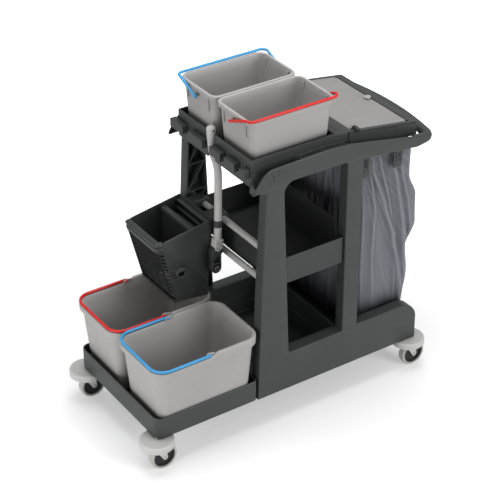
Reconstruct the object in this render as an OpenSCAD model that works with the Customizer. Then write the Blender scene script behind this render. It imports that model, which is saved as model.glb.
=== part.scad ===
// Housekeeping cart: a moulded base on four swivel casters, two side frames,
// a top deck with two caddies, a shelf, two mop buckets, a hung side-press
// wringer and a lidded waste bag with a push handle behind it.
// Frame: origin on the floor midway between the casters, +X towards the push
// handle, +Z up, and the buckets stand at the -X end.

/* [Frame] */
// Width across the outer faces of the side frames
frame_w = 490; // [480:1:500]
// Depth of each side frame, outer face to inner face
side_d = 40; // [34:1:44]
// Wall thickness of the moulded side frames and the deck
wall = 4; // [3:0.5:5]
// Height of the underside of the base
base_z = 120; // [118:1:124]
// Front end of the base tray
tray_x = -530; // [-540:1:-525]
// Height of the base tray's rim
tray_top = 200; // [190:1:205]
// Height of the top of the deck's side walls
deck_top = 990; // [985:1:995]

/* [Casters] */
// Wheel diameter
wheel_d = 92; // [88:1:93]
// Wheel width
wheel_w = 26; // [22:1:28]
// Distance from the swivel axis back to the wheel axle
trail = 19; // [15:1:22]
// Radius of the round wall buffer over each caster
buffer_r = 57; // [54:1:60]
// Position of the front swivel axes
caster_front_x = -522; // [-524:1:-518]
// Position of the rear swivel axes
caster_rear_x = 486; // [480:1:488]
// Distance of each swivel axis from the middle of the cart
caster_y = 228; // [226:1:229]

/* [Buckets and caddies] */
// Length of each mop bucket over its rim
bucket_l = 388; // [384:1:390]
// Width of each mop bucket over its rim
bucket_w = 264; // [256:1:264]
// Height of the mop bucket's rim above the floor
bucket_top = 378; // [374:1:380]
// Length of each caddy over its rim
caddy_l = 320; // [314:1:320]
// Width of each caddy over its rim
caddy_w = 203; // [198:1:203]
// Height of the caddy's rim above the floor
caddy_top = 1110; // [1100:1:1115]

/* [Wringer] */
// Near side of the wringer
wringer_y0 = 30; // [30:1:34]
// Far side of the wringer
wringer_y1 = 228; // [220:1:230]
// Diameter of the lever tube
lever_d = 25; // [22:1:25]
// Diameter of the two cross tubes
tube_d = 21; // [19:1:22]

/* [Bag and lid] */
// Rear end of the lid
lid_x1 = 493; // [488:1:494]
// Thickness of the lid's flap
flap_t = 10; // [8:1:11]
// Height of the top of the waste bag
bag_top = 860; // [850:1:860]

/* [Hidden] */
$fn = 48;

graphite = [0.30, 0.31, 0.30];
dark = [0.17, 0.18, 0.18];
bucket_grey = [0.66, 0.65, 0.64];
tube_grey = [0.66, 0.65, 0.65];
light_grey = [0.78, 0.78, 0.78];
flap_grey = [0.61, 0.60, 0.60];
bag_grey = [0.43, 0.43, 0.48];
red = [0.85, 0.12, 0.12];
blue = [0.25, 0.62, 0.85];

press_gap = 0.02;    // radial gap of a pin that is fixed in its hole
run_gap = 0.06;      // radial gap of a pin that turns in its hole
side_y = frame_w / 2;
inner_y = side_y - side_d;

// Front edge of the side frame's front upright
front_foot = [-147, base_z];
front_knee = [-135, 507];
front_head = [-116, 890];
// Opening of the side frame between its two uprights
window_sill = 262;
window_x0 = -28;
window_lean = 26 / 600;
window_x1 = 187;
window_top_r = 38;
// Rear upright, bag opening and the end of the rail
upright_x1 = 247;
bag_sill = 268;
horn_tip = -168;
horn_z = 890;
groove_drop = 13;

// Push handle: a shallow bow between two tight corners, tangent to the rails
handle_bow_r = 1000;
handle_apex = 549;
handle_y = 228;
handle_corner_r = 30;
handle_z = 884;
grip_r = 17;
bow_cx = handle_apex - handle_bow_r;
bow_reach = handle_bow_r - handle_corner_r;
bow_turn = asin((handle_y - handle_corner_r) / bow_reach);
rail_end = bow_cx + bow_reach * cos(bow_turn);

function mix(a, b, t) = a + (b - a) * t;
function smooth(t) = t * t * (3 - 2 * t);
function arc(cx, cz, r, a0, a1, n = 8) =
    [for (i = [0:n]) let (a = mix(a0, a1, i / n)) [cx + r * cos(a), cz + r * sin(a)]];
function front_x(z) = z < front_knee[1]
    ? mix(front_foot[0], front_knee[0], (z - front_foot[1]) / (front_knee[1] - front_foot[1]))
    : mix(front_knee[0], front_head[0], (z - front_knee[1]) / (front_head[1] - front_knee[1]));
function window_x(z) = window_x0 - window_lean * (z - window_sill);
function rail_top(x) = x < 100 ? 962 + 4 * (x + 87) / 187 : 966 - 63 * smooth((x - 100) / 460);
function rail_low(x) = x < 182 ? 900 : 899 - 0.107 * (x - 182);
function lid_top(x) = 986 - 0.151 * (x - 163);

// A flat outline drawn in X and Z, given thickness from y0 to y1
module xz(y0, y1) {
    translate([0, y1, 0]) rotate([90, 0, 0]) linear_extrude(height = y1 - y0) children();
}

// A round bar along Y
module bar_y(x, z, y0, y1, r) {
    translate([x, y0, z]) rotate([-90, 0, 0]) cylinder(h = y1 - y0, r = r);
}

// A round bar along X
module bar_x(y, z, x0, x1, r) {
    translate([x0, y, z]) rotate([0, 90, 0]) cylinder(h = x1 - x0, r = r);
}

// A block between two corners
module block(lo, hi) {
    translate(lo) cube(hi - lo);
}

// A rectangle with rounded corners, centred on c
module round_rect(c, l, w, r) {
    translate(c) {
        square([l - 2 * r, w], center = true);
        square([l, w - 2 * r], center = true);
        for (sx = [-1, 1], sy = [-1, 1])
            translate([sx * (l / 2 - r), sy * (w / 2 - r)]) circle(r = r);
    }
}

// A straight-sided rounded block standing on z0
module round_block(c, l, w, r, z0, z1) {
    translate([0, 0, z0]) linear_extrude(height = z1 - z0) round_rect(c, l, w, r);
}

module mirrored(side) {
    if (side < 0) children();
    else mirror([0, 1, 0]) children();
}

// ---------------------------------------------------------------- base

divider_x = 182;
platform_z = 196;
boss_r = 15;
stem_r = 5.5;
stem_top = base_z + 34;

module base_pan() {
    tray_l = front_foot[0] - 1 - tray_x;
    tray_c = [tray_x + tray_l / 2, 0];
    mid_x = front_foot[0] - 1;
    floor_t = 5;
    color(graphite) difference() {
        union() {
            difference() {
                union() {
                    round_block(tray_c, tray_l, frame_w, 20, base_z, tray_top);
                    block([mid_x - 30, -side_y, base_z], [mid_x, side_y, tray_top]);
                    block([mid_x - 20, -inner_y, base_z], [divider_x, inner_y, tray_top]);
                }
                round_block(tray_c, tray_l - 10, frame_w - 10, 15, base_z + floor_t, tray_top + 1);
                block([mid_x - 20, 5 - inner_y, base_z + floor_t + 2], [divider_x - 5, inner_y - 5, tray_top + 1]);
            }
            // Inner walls of the compartment, up to the side frames' sills
            for (y = [-inner_y, inner_y - 5])
                block([front_foot[0] + 6, y, tray_top - 1], [divider_x + 4, y + 5, window_sill - 1]);
            // Divider behind the lower compartment and the bag's platform behind it
            block([divider_x, -inner_y, base_z], [divider_x + 4.5, inner_y, bag_sill]);
            block([divider_x + 4, -inner_y, platform_z], [501, inner_y, platform_z + 4]);
            for (y = [-inner_y, inner_y - 5]) block([divider_x + 4, y, base_z], [501, y + 5, platform_z + 1]);
            block([496, -inner_y, base_z], [501, inner_y, platform_z + 1]);
            for (s = [-1, 1])
                translate([caster_front_x, s * caster_y, base_z]) cylinder(h = 40, r = boss_r);
        }
        for (s = [-1, 1]) {
            translate([caster_front_x, s * caster_y, base_z - 1])
                cylinder(h = stem_top - base_z + 1, r = stem_r + press_gap);
            for (x = base_screw_x) bar_y(x, base_screw_z, min(s * inner_y, s * (inner_y - 6)) - 1,
                max(s * inner_y, s * (inner_y - 6)) + 1, screw_r + 0.2);
        }
    }
}

// ---------------------------------------------------------------- side frames

screw_r = 3;
base_screw_x = [-100, 130];
base_screw_z = 165;
deck_screw_x = [-96, 150];
deck_screw_z = 921;
shelf_screw_z = [555, 600];
shelf_screw_x = -58;
tube_x = -86;
tube_z = [527, 643];
accessory_x = [27, 104];
accessory_r = 4;
accessory_y = 223;
accessory_z = 954;
clip_x = [277, 411];
clip_w = 36;
clip_y = 213;
clip_drop = 9;
clip_pin_r = 4;

module side_outline() {
    difference() {
        polygon(concat(
            [front_foot, front_knee, [front_head[0] - 1, horn_z - 8], [horn_tip + 22, horn_z],
                [horn_tip, horn_z], [-151, 916], [-137, 939], [-121, 955], [-104, 960]],
            [for (x = [-87:(rail_end + 87) / 20:rail_end + 1]) [x, rail_top(x)]],
            [[rail_end, rail_low(rail_end)], [upright_x1, rail_low(upright_x1)], [upright_x1, bag_sill]],
            arc(434, bag_sill - 60, 60, 90, 0),
            [[501, base_z]]));
        polygon(concat(
            [[window_x0, window_sill], [window_x(850), 850]],
            arc(window_x(850) + window_top_r + 2, rail_low(0) - window_top_r, window_top_r, 178, 90),
            [[window_x1, rail_low(window_x1)], [window_x1, window_sill]]));
    }
}

// One cell of the open inner side, cut by a diagonal rib
module rib_cell(x0, x1, x2, x3, z0, z1, rib = 3) {
    polygon([[x0 + rib, z0], [x1, z0], [x3, z1 - rib]]);
    polygon([[x0, z0 + rib], [x3 - rib, z1], [x2, z1]]);
}

module side_pockets() {
    cells = 6;
    z0 = 276;
    z1 = 880;
    step = (z1 - z0) / cells;
    for (i = [0:cells - 1]) let (a = z0 + i * step, b = a + step - 4) {
        rib_cell(front_x(a) + wall, window_x(a) - wall, front_x(b) + wall, window_x(b) - wall, a, b);
        rib_cell(window_x1 + wall, upright_x1 - wall, window_x1 + wall, upright_x1 - wall, a, b);
    }
    for (i = [0:8]) let (a = -138 + i * 64)
        rib_cell(a, a + 60, a, a + 60, base_z + wall, window_sill - 2 * wall);
    for (i = [0:7]) let (a = -100 + i * 72, b = a + 68)
        polygon([[a, rail_low(a) + wall + 2], [b, rail_low(b) + wall + 2],
            [b, rail_top(b) - groove_drop - wall], [a, rail_top(a) - groove_drop - wall]]);
}

module rail_groove() {
    polygon(concat(
        [for (x = [-100:30:rail_end + 30]) [x, rail_top(x) - groove_drop]],
        [[rail_end + 30, 1000], [horn_tip - 10, 1000], [horn_tip - 10, horn_z + 12], [-140, 915], [-120, 940]]));
}

// The left side frame, drawn on the -Y side
module side_frame() {
    difference() {
        union() {
            difference() {
                xz(-side_y, -inner_y) side_outline();
                xz(wall - side_y, 1 - inner_y) side_pockets();
                xz(wall - side_y, 1 - inner_y) rail_groove();
            }
            for (z = tube_z) bar_y(tube_x, z, -side_y + 1, -inner_y, tube_d / 2 + 6);
            for (x = deck_screw_x) bar_y(x, deck_screw_z, -side_y + 1, -inner_y, 8);
            for (x = base_screw_x) bar_y(x, base_screw_z, -side_y + 1, -inner_y, 8);
            for (z = shelf_screw_z) bar_y(shelf_screw_x, z, -side_y + 1, -inner_y, 8);
            for (x = accessory_x) translate([x, -accessory_y, rail_low(x) + 1])
                cylinder(h = accessory_z - rail_low(x) - 1, r = 9);
            for (x = clip_x, s = [-1, 1]) let (z = rail_low(x) - clip_drop)
                translate([x + s * (clip_w / 2 + 4), 0, 0]) {
                    bar_x(-clip_y, z, -3, 3, 8);
                    block([-3, -clip_y - 8, z], [3, -clip_y + 8, rail_low(x) + 3]);
                }
        }
        translate([caster_rear_x, -caster_y, base_z - 1])
            cylinder(h = stem_top - base_z + 1, r = stem_r + press_gap);
        for (z = tube_z) bar_y(tube_x, z, wall - side_y, 1 - inner_y, tube_d / 2 + press_gap);
        for (x = deck_screw_x) bar_y(x, deck_screw_z, 18 - side_y, 1 - inner_y, screw_r + press_gap);
        for (x = base_screw_x) bar_y(x, base_screw_z, 18 - side_y, 1 - inner_y, screw_r + press_gap);
        for (z = shelf_screw_z) bar_y(shelf_screw_x, z, 18 - side_y, 1 - inner_y, screw_r + press_gap);
        for (x = accessory_x) translate([x, -accessory_y, rail_low(x) + 8]) cylinder(h = 80, r = accessory_r);
        for (x = clip_x) bar_x(-clip_y, rail_low(x) - clip_drop, x - clip_w / 2 - 9, x + clip_w / 2 + 9,
            clip_pin_r + run_gap);
        // Two short upright slots in the outer face
        block([-95, -side_y - 1, 916], [-91, 1.5 - side_y, 950]);
        block([-78, -side_y - 1, 930], [-74, 1.5 - side_y, 952]);
    }
}

module left_side_frame() {
    color(graphite) side_frame();
}

module right_side_frame() {
    color(graphite) mirrored(1) side_frame();
}

module upper_cross_tube() {
    color(tube_grey) bar_y(tube_x, tube_z[1], -side_y + wall + 1, side_y - wall - 1, tube_d / 2);
}

module lower_cross_tube() {
    color(tube_grey) bar_y(tube_x, tube_z[0], -side_y + wall + 1, side_y - wall - 1, tube_d / 2);
}

module frame_screws() {
    head_r = 6;
    color(tube_grey) for (s = [-1, 1]) mirrored(s) {
        for (p = [for (x = deck_screw_x) [x, deck_screw_z, wall],
                for (x = base_screw_x) [x, base_screw_z, 5],
                for (z = shelf_screw_z) [shelf_screw_x, z, shelf_wall]]) {
            bar_y(p[0], p[1], 20 - side_y, -inner_y + p[2] + 0.1, screw_r);
            bar_y(p[0], p[1], -inner_y + p[2] + 0.1, -inner_y + p[2] + 3.5, head_r);
        }
    }
}

// ---------------------------------------------------------------- deck

deck_x0 = -150;
deck_x1 = 198;
deck_floor = 936;
beam_low = 897;
step_x = 163;
step_z = 969;
lever_y = 14;
notch_w = 40;

module top_deck() {
    color(graphite) difference() {
        union() {
            difference() {
                block([deck_x0, -inner_y, beam_low], [deck_x1, inner_y, deck_top]);
                block([deck_x0 + wall, wall - inner_y, deck_floor + wall],
                    [deck_x1 - wall, inner_y - wall, deck_top + 1]);
                block([deck_x0 + wall, wall - inner_y, beam_low - 1], [deck_x1 - wall, inner_y - wall, deck_floor]);
            }
            // Cheeks beside the parked lever
            block([deck_x0, lever_y - notch_w / 2 - wall, deck_floor - 6],
                [deck_x0 + 17, lever_y + notch_w / 2 + wall, deck_top]);
        }
        block([step_x - 0.3, -inner_y - 1, step_z - 0.3], [deck_x1 + 1, inner_y + 1, deck_top + 1]);
        block([deck_x0 - 1, lever_y - notch_w / 2, beam_low - 1],
            [deck_x0 + 18, lever_y + notch_w / 2, deck_top + 1]);
        for (x = deck_screw_x) {
            bar_y(x, deck_screw_z, -inner_y - 1, -inner_y + wall + 1, screw_r + 0.2);
            bar_y(x, deck_screw_z, inner_y - wall - 1, inner_y + 1, screw_r + 0.2);
        }
    }
}

// The bridge closes the deck's rear edge and carries the lid's hinge
bridge_x1 = 212;
tongue_x1 = 232;
tongue_y = 191.5;
hinge_x = 250;
hinge_z = 975.5;
hinge_r = 4;
ear_y = [193, 199];
knuckle_r = 7.5;
slot_y = 180;

module deck_bridge() {
    color(graphite) difference() {
        union() {
            difference() {
                xz(-inner_y, inner_y) polygon([[step_x, step_z], [step_x, lid_top(step_x)],
                    [bridge_x1, lid_top(bridge_x1)], [bridge_x1, 934], [deck_x1 + 0.3, 934], [deck_x1 + 0.3, step_z]]);
                xz(wall - inner_y, inner_y - wall) polygon([[step_x + wall, step_z - 40],
                    [step_x + wall, lid_top(step_x) - wall - 1], [bridge_x1 - wall, lid_top(bridge_x1) - wall],
                    [bridge_x1 - wall, step_z - 40]]);
            }
            xz(-tongue_y, tongue_y) polygon([[bridge_x1 - 1, lid_top(bridge_x1 - 1)], [tongue_x1, lid_top(tongue_x1)],
                [tongue_x1, lid_top(tongue_x1) - wall], [bridge_x1 - 1, lid_top(bridge_x1 - 1) - wall]]);
            for (s = [-1, 1]) mirrored(s) {
                bar_y(hinge_x, hinge_z, -ear_y[1], -ear_y[0], knuckle_r);
                block([bridge_x1 - 3, -ear_y[1], hinge_z - knuckle_r], [hinge_x, -ear_y[0], hinge_z + 2]);
            }
        }
        for (s = [-1, 1]) mirrored(s)
            bar_y(hinge_x, hinge_z, -ear_y[1] - 1, -ear_y[0] + 1, hinge_r + press_gap);
        block([185, -slot_y, lid_top(185) - 1.5], [188, slot_y, 1000]);
    }
}

module tool_rack() {
    blocks = [[-200, -173], [-145, -88], [-67, lever_y - notch_w / 2], [lever_y + notch_w / 2, 116], [149, 222]];
    color(graphite) for (b = blocks) difference() {
        block([deck_x0 - 22, b[0], 928], [deck_x0, b[1], 957]);
        block([deck_x0 - 19, b[0] + 3, 927], [deck_x0 - 3, b[1] - 3, 953]);
    }
}

// ---------------------------------------------------------------- shelf

shelf_wall = 3;
shelf_x0 = -70;
shelf_x1 = 183;
shelf_low = 528;
shelf_side_top = 623;
shelf_back_top = 675;
shelf_bulge_x0 = -36;
shelf_bulge_y = 235;

module shelf_tray() {
    t = shelf_wall;
    color(dark) difference() {
        union() {
            block([shelf_x0, -inner_y, shelf_low], [shelf_x1, inner_y, shelf_side_top]);
            block([shelf_bulge_x0, -shelf_bulge_y, shelf_low], [shelf_x1, shelf_bulge_y, shelf_side_top]);
            block([shelf_x1 - t, -inner_y + 8, shelf_low], [shelf_x1, inner_y - 8, shelf_back_top]);
        }
        block([shelf_x0 + t, t - inner_y, shelf_low + t], [shelf_x1 - t, inner_y - t, shelf_back_top + 1]);
        block([shelf_bulge_x0 + t, t - shelf_bulge_y, shelf_low + t],
            [shelf_x1 - t, shelf_bulge_y - t, shelf_back_top + 1]);
        for (z = shelf_screw_z) {
            bar_y(shelf_screw_x, z, -inner_y - 1, -inner_y + t + 1, screw_r + 0.2);
            bar_y(shelf_screw_x, z, inner_y - t - 1, inner_y + 1, screw_r + 0.2);
        }
    }
}

// ---------------------------------------------------------------- push handle

module push_handle() {
    corner_y = handle_y - handle_corner_r;
    color(graphite) {
        translate([bow_cx, 0, handle_z]) rotate([0, 0, -bow_turn])
            rotate_extrude(angle = 2 * bow_turn, $fn = 180) translate([handle_bow_r, 0]) circle(r = grip_r);
        for (s = [-1, 1]) mirrored(s) translate([rail_end, -corner_y, handle_z])
            rotate([0, 0, -90]) {
                rotate_extrude(angle = 90 - bow_turn) translate([handle_corner_r, 0]) circle(r = grip_r);
                rotate([0, 0, 90 - bow_turn]) bar_y(handle_corner_r, 0, -1.5, 1.5, grip_r + 0.3);
            }
    }
}

// ---------------------------------------------------------------- bag lid

lid_y = 204.5;
lid_x0 = 213;
flap_x0 = 233;
flap_x1 = 458;
flap_y = 190;
lid_inner_y = 192;
pull_x = 446;

module hinge_pins() {
    color(dark) for (s = [-1, 1]) mirrored(s) {
        bar_y(hinge_x, hinge_z, -203, -178, hinge_r);
        bar_y(hinge_x, hinge_z, -ear_y[0] + 0.2, -185, knuckle_r);
    }
}

module lid_side_outline() {
    polygon([[lid_x0, 938], [273, 924], [413, 898], [lid_x1, 885], [lid_x1, lid_top(lid_x1)], [lid_x0, lid_top(lid_x0)]]);
}

// Strip parallel to the lid's top, between two depths below it
module ledge_outline(x1, d0, d1) {
    polygon([[290, lid_top(290) - d1], [x1, lid_top(x1) - d1], [x1, lid_top(x1) - d0], [290, lid_top(290) - d0]]);
}

module bag_lid_frame() {
    rear_x = flap_x1 + 5;
    color(graphite) difference() {
        union() {
            difference() {
                xz(-lid_y, lid_y) lid_side_outline();
                xz(-lid_y + wall, lid_y - wall) polygon([[lid_x0 - 1, 860], [lid_x1 - wall, 860],
                    [lid_x1 - wall, lid_top(lid_x1) - wall], [lid_x0 - 1, lid_top(lid_x0) - wall]]);
                block([lid_x0 - 1, -lid_inner_y, 860], [rear_x, lid_inner_y, 1000]);
            }
            for (s = [-1, 1]) mirrored(s) bar_y(hinge_x, hinge_z, -lid_y, -ear_y[1] - 0.4, 9);
            // Ledges that carry the flap
            for (s = [-1, 1]) mirrored(s) {
                xz(-lid_inner_y - 2, -lid_inner_y + 8) ledge_outline(rear_x + 1, flap_t + 0.3, flap_t + 4);
                xz(-lid_inner_y - 2, -lid_inner_y) ledge_outline(rear_x + 1, 2, flap_t + 4);
            }
        }
        for (s = [-1, 1]) mirrored(s) {
            bar_y(hinge_x, hinge_z, -203.3, -ear_y[0], hinge_r + run_gap);
            block([lid_x0 - 1, -ear_y[1] - 0.4, 900], [hinge_x + 12, -lid_inner_y + 1, 1000]);
        }
    }
}

module bag_lid_flap() {
    notch_y = 184.6;
    color(flap_grey) difference() {
        union() {
            xz(-flap_y, flap_y) polygon([[flap_x0, lid_top(flap_x0)], [flap_x1, lid_top(flap_x1)],
                [flap_x1, lid_top(flap_x1) - flap_t], [flap_x0, lid_top(flap_x0) - flap_t]]);
            for (s = [-1, 1]) mirrored(s) bar_y(hinge_x, hinge_z, -notch_y, -175, knuckle_r);
        }
        for (s = [-1, 1]) mirrored(s) {
            block([flap_x0 - 1, -flap_y - 1, 940], [hinge_x + 12, -notch_y, 1000]);
            bar_y(hinge_x, hinge_z, -notch_y - 1, -177.5, hinge_r + run_gap);
        }
        translate([pull_x, 0, 930]) cylinder(h = 60, r = 3 + press_gap);
    }
}

module flap_pull_knob() {
    z = lid_top(pull_x) + 2;
    color(light_grey) {
        translate([pull_x, 0, z - flap_t]) cylinder(h = flap_t, r = 3);
        translate([pull_x, 0, z]) cylinder(h = 6, r1 = 9, r2 = 12);
    }
}

// ---------------------------------------------------------------- bag and clips

module bag_clip(i) {
    x = clip_x[i];
    z = rail_low(x) - clip_drop;
    low = 800;
    half = clip_w / 2 - 0.5;
    color(graphite) {
        bar_x(-clip_y, z, x - clip_w / 2 - 7, x + clip_w / 2 + 7, clip_pin_r);
        difference() {
            block([x - half, -clip_y - 1.5, low], [x + half, -clip_y + 1.5, z]);
            block([x - half + 6, -clip_y - 3, low + 12], [x + half - 6, -clip_y + 3, z - 8]);
        }
        block([x - 5, -clip_y - 1, low + 20], [x + 5, -clip_y + 1, z - 4]);
    }
}

module bag_clip_front_left() { mirrored(-1) bag_clip(0); }
module bag_clip_rear_left() { mirrored(-1) bag_clip(1); }
module bag_clip_front_right() { mirrored(1) bag_clip(0); }
module bag_clip_rear_right() { mirrored(1) bag_clip(1); }

module waste_bag() {
    bag_y = 200;
    skin = 2;
    low = platform_z + 4.2;
    color(bag_grey) difference() {
        xz(-bag_y, bag_y) polygon([[253, low], [497, low], [510, 254], [520, 373], [518, 461], [552, 545],
            [548, 618], [517, 732], [514, bag_top], [253, bag_top]]);
        xz(-bag_y + skin, bag_y - skin) polygon([[255, low + skin], [494, low + skin], [507, 254], [517, 373],
            [515, 461], [549, 546], [545, 618], [514, 732], [511, bag_top + 1], [255, bag_top + 1]]);
    }
}

// ---------------------------------------------------------------- buckets

bucket_low = base_z + 5.2;
bail_r = 4.5;
trunnion_r = 3.5;
bail_in = 4.6;       // bail's centre line, in from the rim's outer edge
ear_in = 10.9;       // middle of the ear, in from the rim's outer edge

// A tapered tub between two rounded outlines
module tub(c, l0, w0, l1, w1, r, z0, z1) {
    thin = 0.5;
    hull() {
        round_block(c, l0, w0, r * 0.8, z0, z0 + thin, $fn = 32);
        round_block(c, l1, w1, r, z1 - thin, z1, $fn = 32);
    }
}

// A bucket or caddy with a rolled rim; children are its bail's bearings and their bores
module bucket(c, l, w, r, z0, z1, inset, taper) {
    t = 3;
    l1 = l - 2 * inset;
    w1 = w - 2 * inset;
    color(bucket_grey) difference() {
        union() {
            tub(c, l1 - taper, w1 - taper, l1, w1, r - inset, z0, z1);
            round_block(c, l, w, r, z1 - 3, z1);
            round_block(c, l - 1, w - 1, r, z1 - 22, z1 - 3);
            children(0);
        }
        difference() {
            round_block(c, l - 5, w - 5, r - 2, z1 - 23, z1 - 3);
            tub(c, l1 - taper, w1 - taper, l1, w1, r - inset, z0, z1);
        }
        tub(c, l1 - taper - 2 * t, w1 - taper - 2 * t, l1 - 2 * t, w1 - 2 * t, r - inset - t, z0 + t, z1 + 0.3);
        round_block(c, l1 - 2 * t, w1 - 2 * t, r - inset - t, z1 - 0.5, z1 + 1);
        children(1);
    }
}

// Bail in its own plane: arms run from a short tail past the pivots (y = +-half) to x = -reach
module bail(half, reach, r, trunnion_l, tail = 0) {
    for (s = [-1, 1]) {
        translate([tail, s * half, 0]) sphere(r = bail_r);
        translate([-reach + r, s * half, 0]) rotate([0, 90, 0]) cylinder(h = reach - r + tail, r = bail_r);
        translate([-reach + r, s * (half - r), 0]) rotate([0, 0, s > 0 ? 90 : 180])
            rotate_extrude(angle = 90) translate([r, 0]) circle(r = bail_r);
        translate([0, s * half, 0]) rotate([s * 90, 0, 0]) cylinder(h = trunnion_l, r = trunnion_r);
    }
    translate([-reach, -half + r, 0]) rotate([-90, 0, 0]) cylinder(h = 2 * (half - r), r = bail_r);
}

bucket_c = [tray_x - 4 + bucket_l / 2, bucket_w / 2 + 0.5];
bucket_inset = 9;
bucket_r = 52;

module bucket_at(s) {
    c = [bucket_c[0], s * bucket_c[1]];
    pivot_z = bucket_top + 6;
    bucket(c, bucket_l, bucket_w, bucket_r, bucket_low, bucket_top, bucket_inset, 46) {
        for (t = [-1, 1]) translate([c[0], c[1] + t * (bucket_w / 2 - ear_in), bucket_top])
            block([-16, -1.6, -1], [16, 1.6, 12]);
        bar_y(c[0], pivot_z, c[1] - bucket_w, c[1] + bucket_w, trunnion_r + run_gap);
    }
}

module bucket_bail(s) {
    translate([bucket_c[0], s * bucket_c[1], bucket_top + 6])
        bail(bucket_w / 2 - bail_in, bucket_l / 2 - bail_in, bucket_r - bail_in, 12);
}

module left_bucket() { bucket_at(-1); }
module right_bucket() { bucket_at(1); }
module left_bucket_bail() { color(blue) bucket_bail(-1); }
module right_bucket_bail() { color(red) bucket_bail(1); }

caddy_c = [deck_x0 + caddy_l / 2 + 1, caddy_w / 2 + 1];
caddy_inset = 8;
caddy_r = 34;
caddy_pivot_z = caddy_top - 29;      // bails turn on bosses below the rim's skirt
caddy_arm = caddy_l / 2 + 5;         // bail arm's centre line, from the caddy's middle
caddy_bar = [caddy_w / 2 - 1, caddy_top + 5.2 - caddy_pivot_z];

module caddy_at(s) {
    c = [caddy_c[0], s * caddy_c[1]];
    boss_end = caddy_l / 2 - 1;
    bucket(c, caddy_l, caddy_w, caddy_r, deck_floor + wall + 0.2, caddy_top, caddy_inset, 26) {
        bar_x(c[1], caddy_pivot_z, c[0] - boss_end, c[0] + boss_end, 5.8);
        for (x = [c[0] - boss_end - 1, c[0] + boss_end - 8])
            bar_x(c[1], caddy_pivot_z, x, x + 9, trunnion_r + run_gap);
    }
}

module caddy_bail(s) {
    translate([caddy_c[0], s * caddy_c[1], caddy_pivot_z]) rotate([0, 0, s > 0 ? -90 : 90])
        rotate([0, atan2(caddy_bar[1], caddy_bar[0]), 0]) bail(caddy_arm, norm(caddy_bar), 20, 12, 7);
}

module left_caddy() { caddy_at(-1); }
module right_caddy() { caddy_at(1); }
module left_caddy_bail() { color(red) caddy_bail(-1); }
module right_caddy_bail() { color(blue) caddy_bail(1); }

// ---------------------------------------------------------------- wringer

wringer_plate = 4;
mouth_front = [-349, 634];
mouth_rear = [-138, 668];
foot_rear = [-160, 385];
foot_front = [-290, 400];
press_pivot = [-214, 420];
press_r = 5;
lever_pivot = [-142, 495];
lever_pin_r = 6;
hub = [-272, 522];

module wringer_outline() {
    polygon([mouth_front, mouth_rear, foot_rear, foot_front]);
}

module wringer_body() {
    y0 = wringer_y0;
    y1 = wringer_y1;
    t = wringer_plate;
    hook_r = tube_d / 2 + run_gap;
    color(dark) difference() {
        union() {
            for (y = [y0, y1 - t]) xz(y, y + t) wringer_outline();
            // Rear wall, front lip and foot
            xz(y0, y1) polygon([mouth_rear, foot_rear, foot_rear + [-6, 0], mouth_rear + [-6, -1]]);
            xz(y0, y1) polygon([mouth_front, mouth_front + [16, 2.6], mouth_front + [20, -22], mouth_front + [5, -20]]);
            xz(y0, y1) polygon([foot_front, foot_front + [60, -7.5], foot_front + [60, -3], foot_front + [3, 5]]);
            // Hooks over the upper tube and a rest against the lower tube
            for (h = [[45, 93], [158, 200]]) {
                bar_y(tube_x, tube_z[1], h[0], h[1], 19);
                block([mouth_rear[0] - 6, h[0], tube_z[1] - 12], [tube_x, h[1], tube_z[1] + 19]);
            }
            block([-155, 100, 512], [tube_x - tube_d / 2 - 0.1, 140, 540]);
            bar_y(lever_pivot[0], lever_pivot[1], y0, y0 + 12, 17);
            block([lever_pivot[0] - 20, y0, lever_pivot[1] - 17],
                [lever_pivot[0], y0 + 12, lever_pivot[1] + 17]);
            bar_y(hub[0], hub[1], y0 - 25, y0 + 1, 19);
        }
        for (h = [[45, 93], [158, 200]]) {
            bar_y(tube_x, tube_z[1], h[0] - 1, h[1] + 1, hook_r);
            block([tube_x - hook_r, h[0] - 1, tube_z[1] - 60], [tube_x + hook_r, h[1] + 1, tube_z[1]]);
        }
        bar_y(press_pivot[0], press_pivot[1], y0 - 1, y1 + 1, press_r + press_gap);
        bar_y(lever_pivot[0], lever_pivot[1], y0 - 1, y0 + 20, lever_pin_r + press_gap);
        // D-shaped socket in the hub
        intersection() {
            bar_y(hub[0], hub[1], y0 - 26, y0 - 3, 14);
            block([hub[0] - 20, y0 - 30, hub[1] - 20], [hub[0] + 20, y0, hub[1] + 5]);
        }
    }
}

module wringer_grille() {
    slats = 13;
    y0 = wringer_y0 + wringer_plate + 0.3;
    y1 = wringer_y1 - wringer_plate - 0.3;
    top = mouth_front + [8, -24];
    low = foot_front + [3, 9];
    color(dark) {
        for (i = [0:slats - 1]) let (p = mix(top, low, (i + 0.5) / slats))
            xz(y0, y1) polygon([p + [-3, 5], p + [9, 3], p + [9, -1], p + [-3, -3]]);
        for (y = [y0, (y0 + y1) / 2 - 2, y1 - 4]) xz(y, y + 4)
            polygon([top + [2, 0], top + [9, 0], low + [9, 0], low + [2, 0]]);
    }
}

module press_shaft() {
    color(tube_grey) bar_y(press_pivot[0], press_pivot[1], wringer_y0 + 0.5, wringer_y1 - 0.5, press_r);
}

module press_plate() {
    y0 = wringer_y0 + wringer_plate + 2;
    y1 = wringer_y1 - wringer_plate - 2;
    lean = [16, 226];
    px = press_pivot[0];
    pz = press_pivot[1];
    color(dark) difference() {
        union() {
            bar_y(px, pz, y0, y1, press_r + 5);
            xz(y0, y1) polygon([[px - 9, pz], [px - 3, pz + lean[1]], [px + 3, pz + lean[1]], [px + 3, pz]]);
            xz(y0, y1) polygon([[px - 5, pz + lean[1] - 12], [px - 3, pz + lean[1]], [px + lean[0], pz + lean[1]],
                [px + lean[0], pz + lean[1] - 5], [px, pz + lean[1] - 12]]);
        }
        bar_y(px, pz, y0 - 1, y1 + 1, press_r + run_gap);
    }
}

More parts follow.
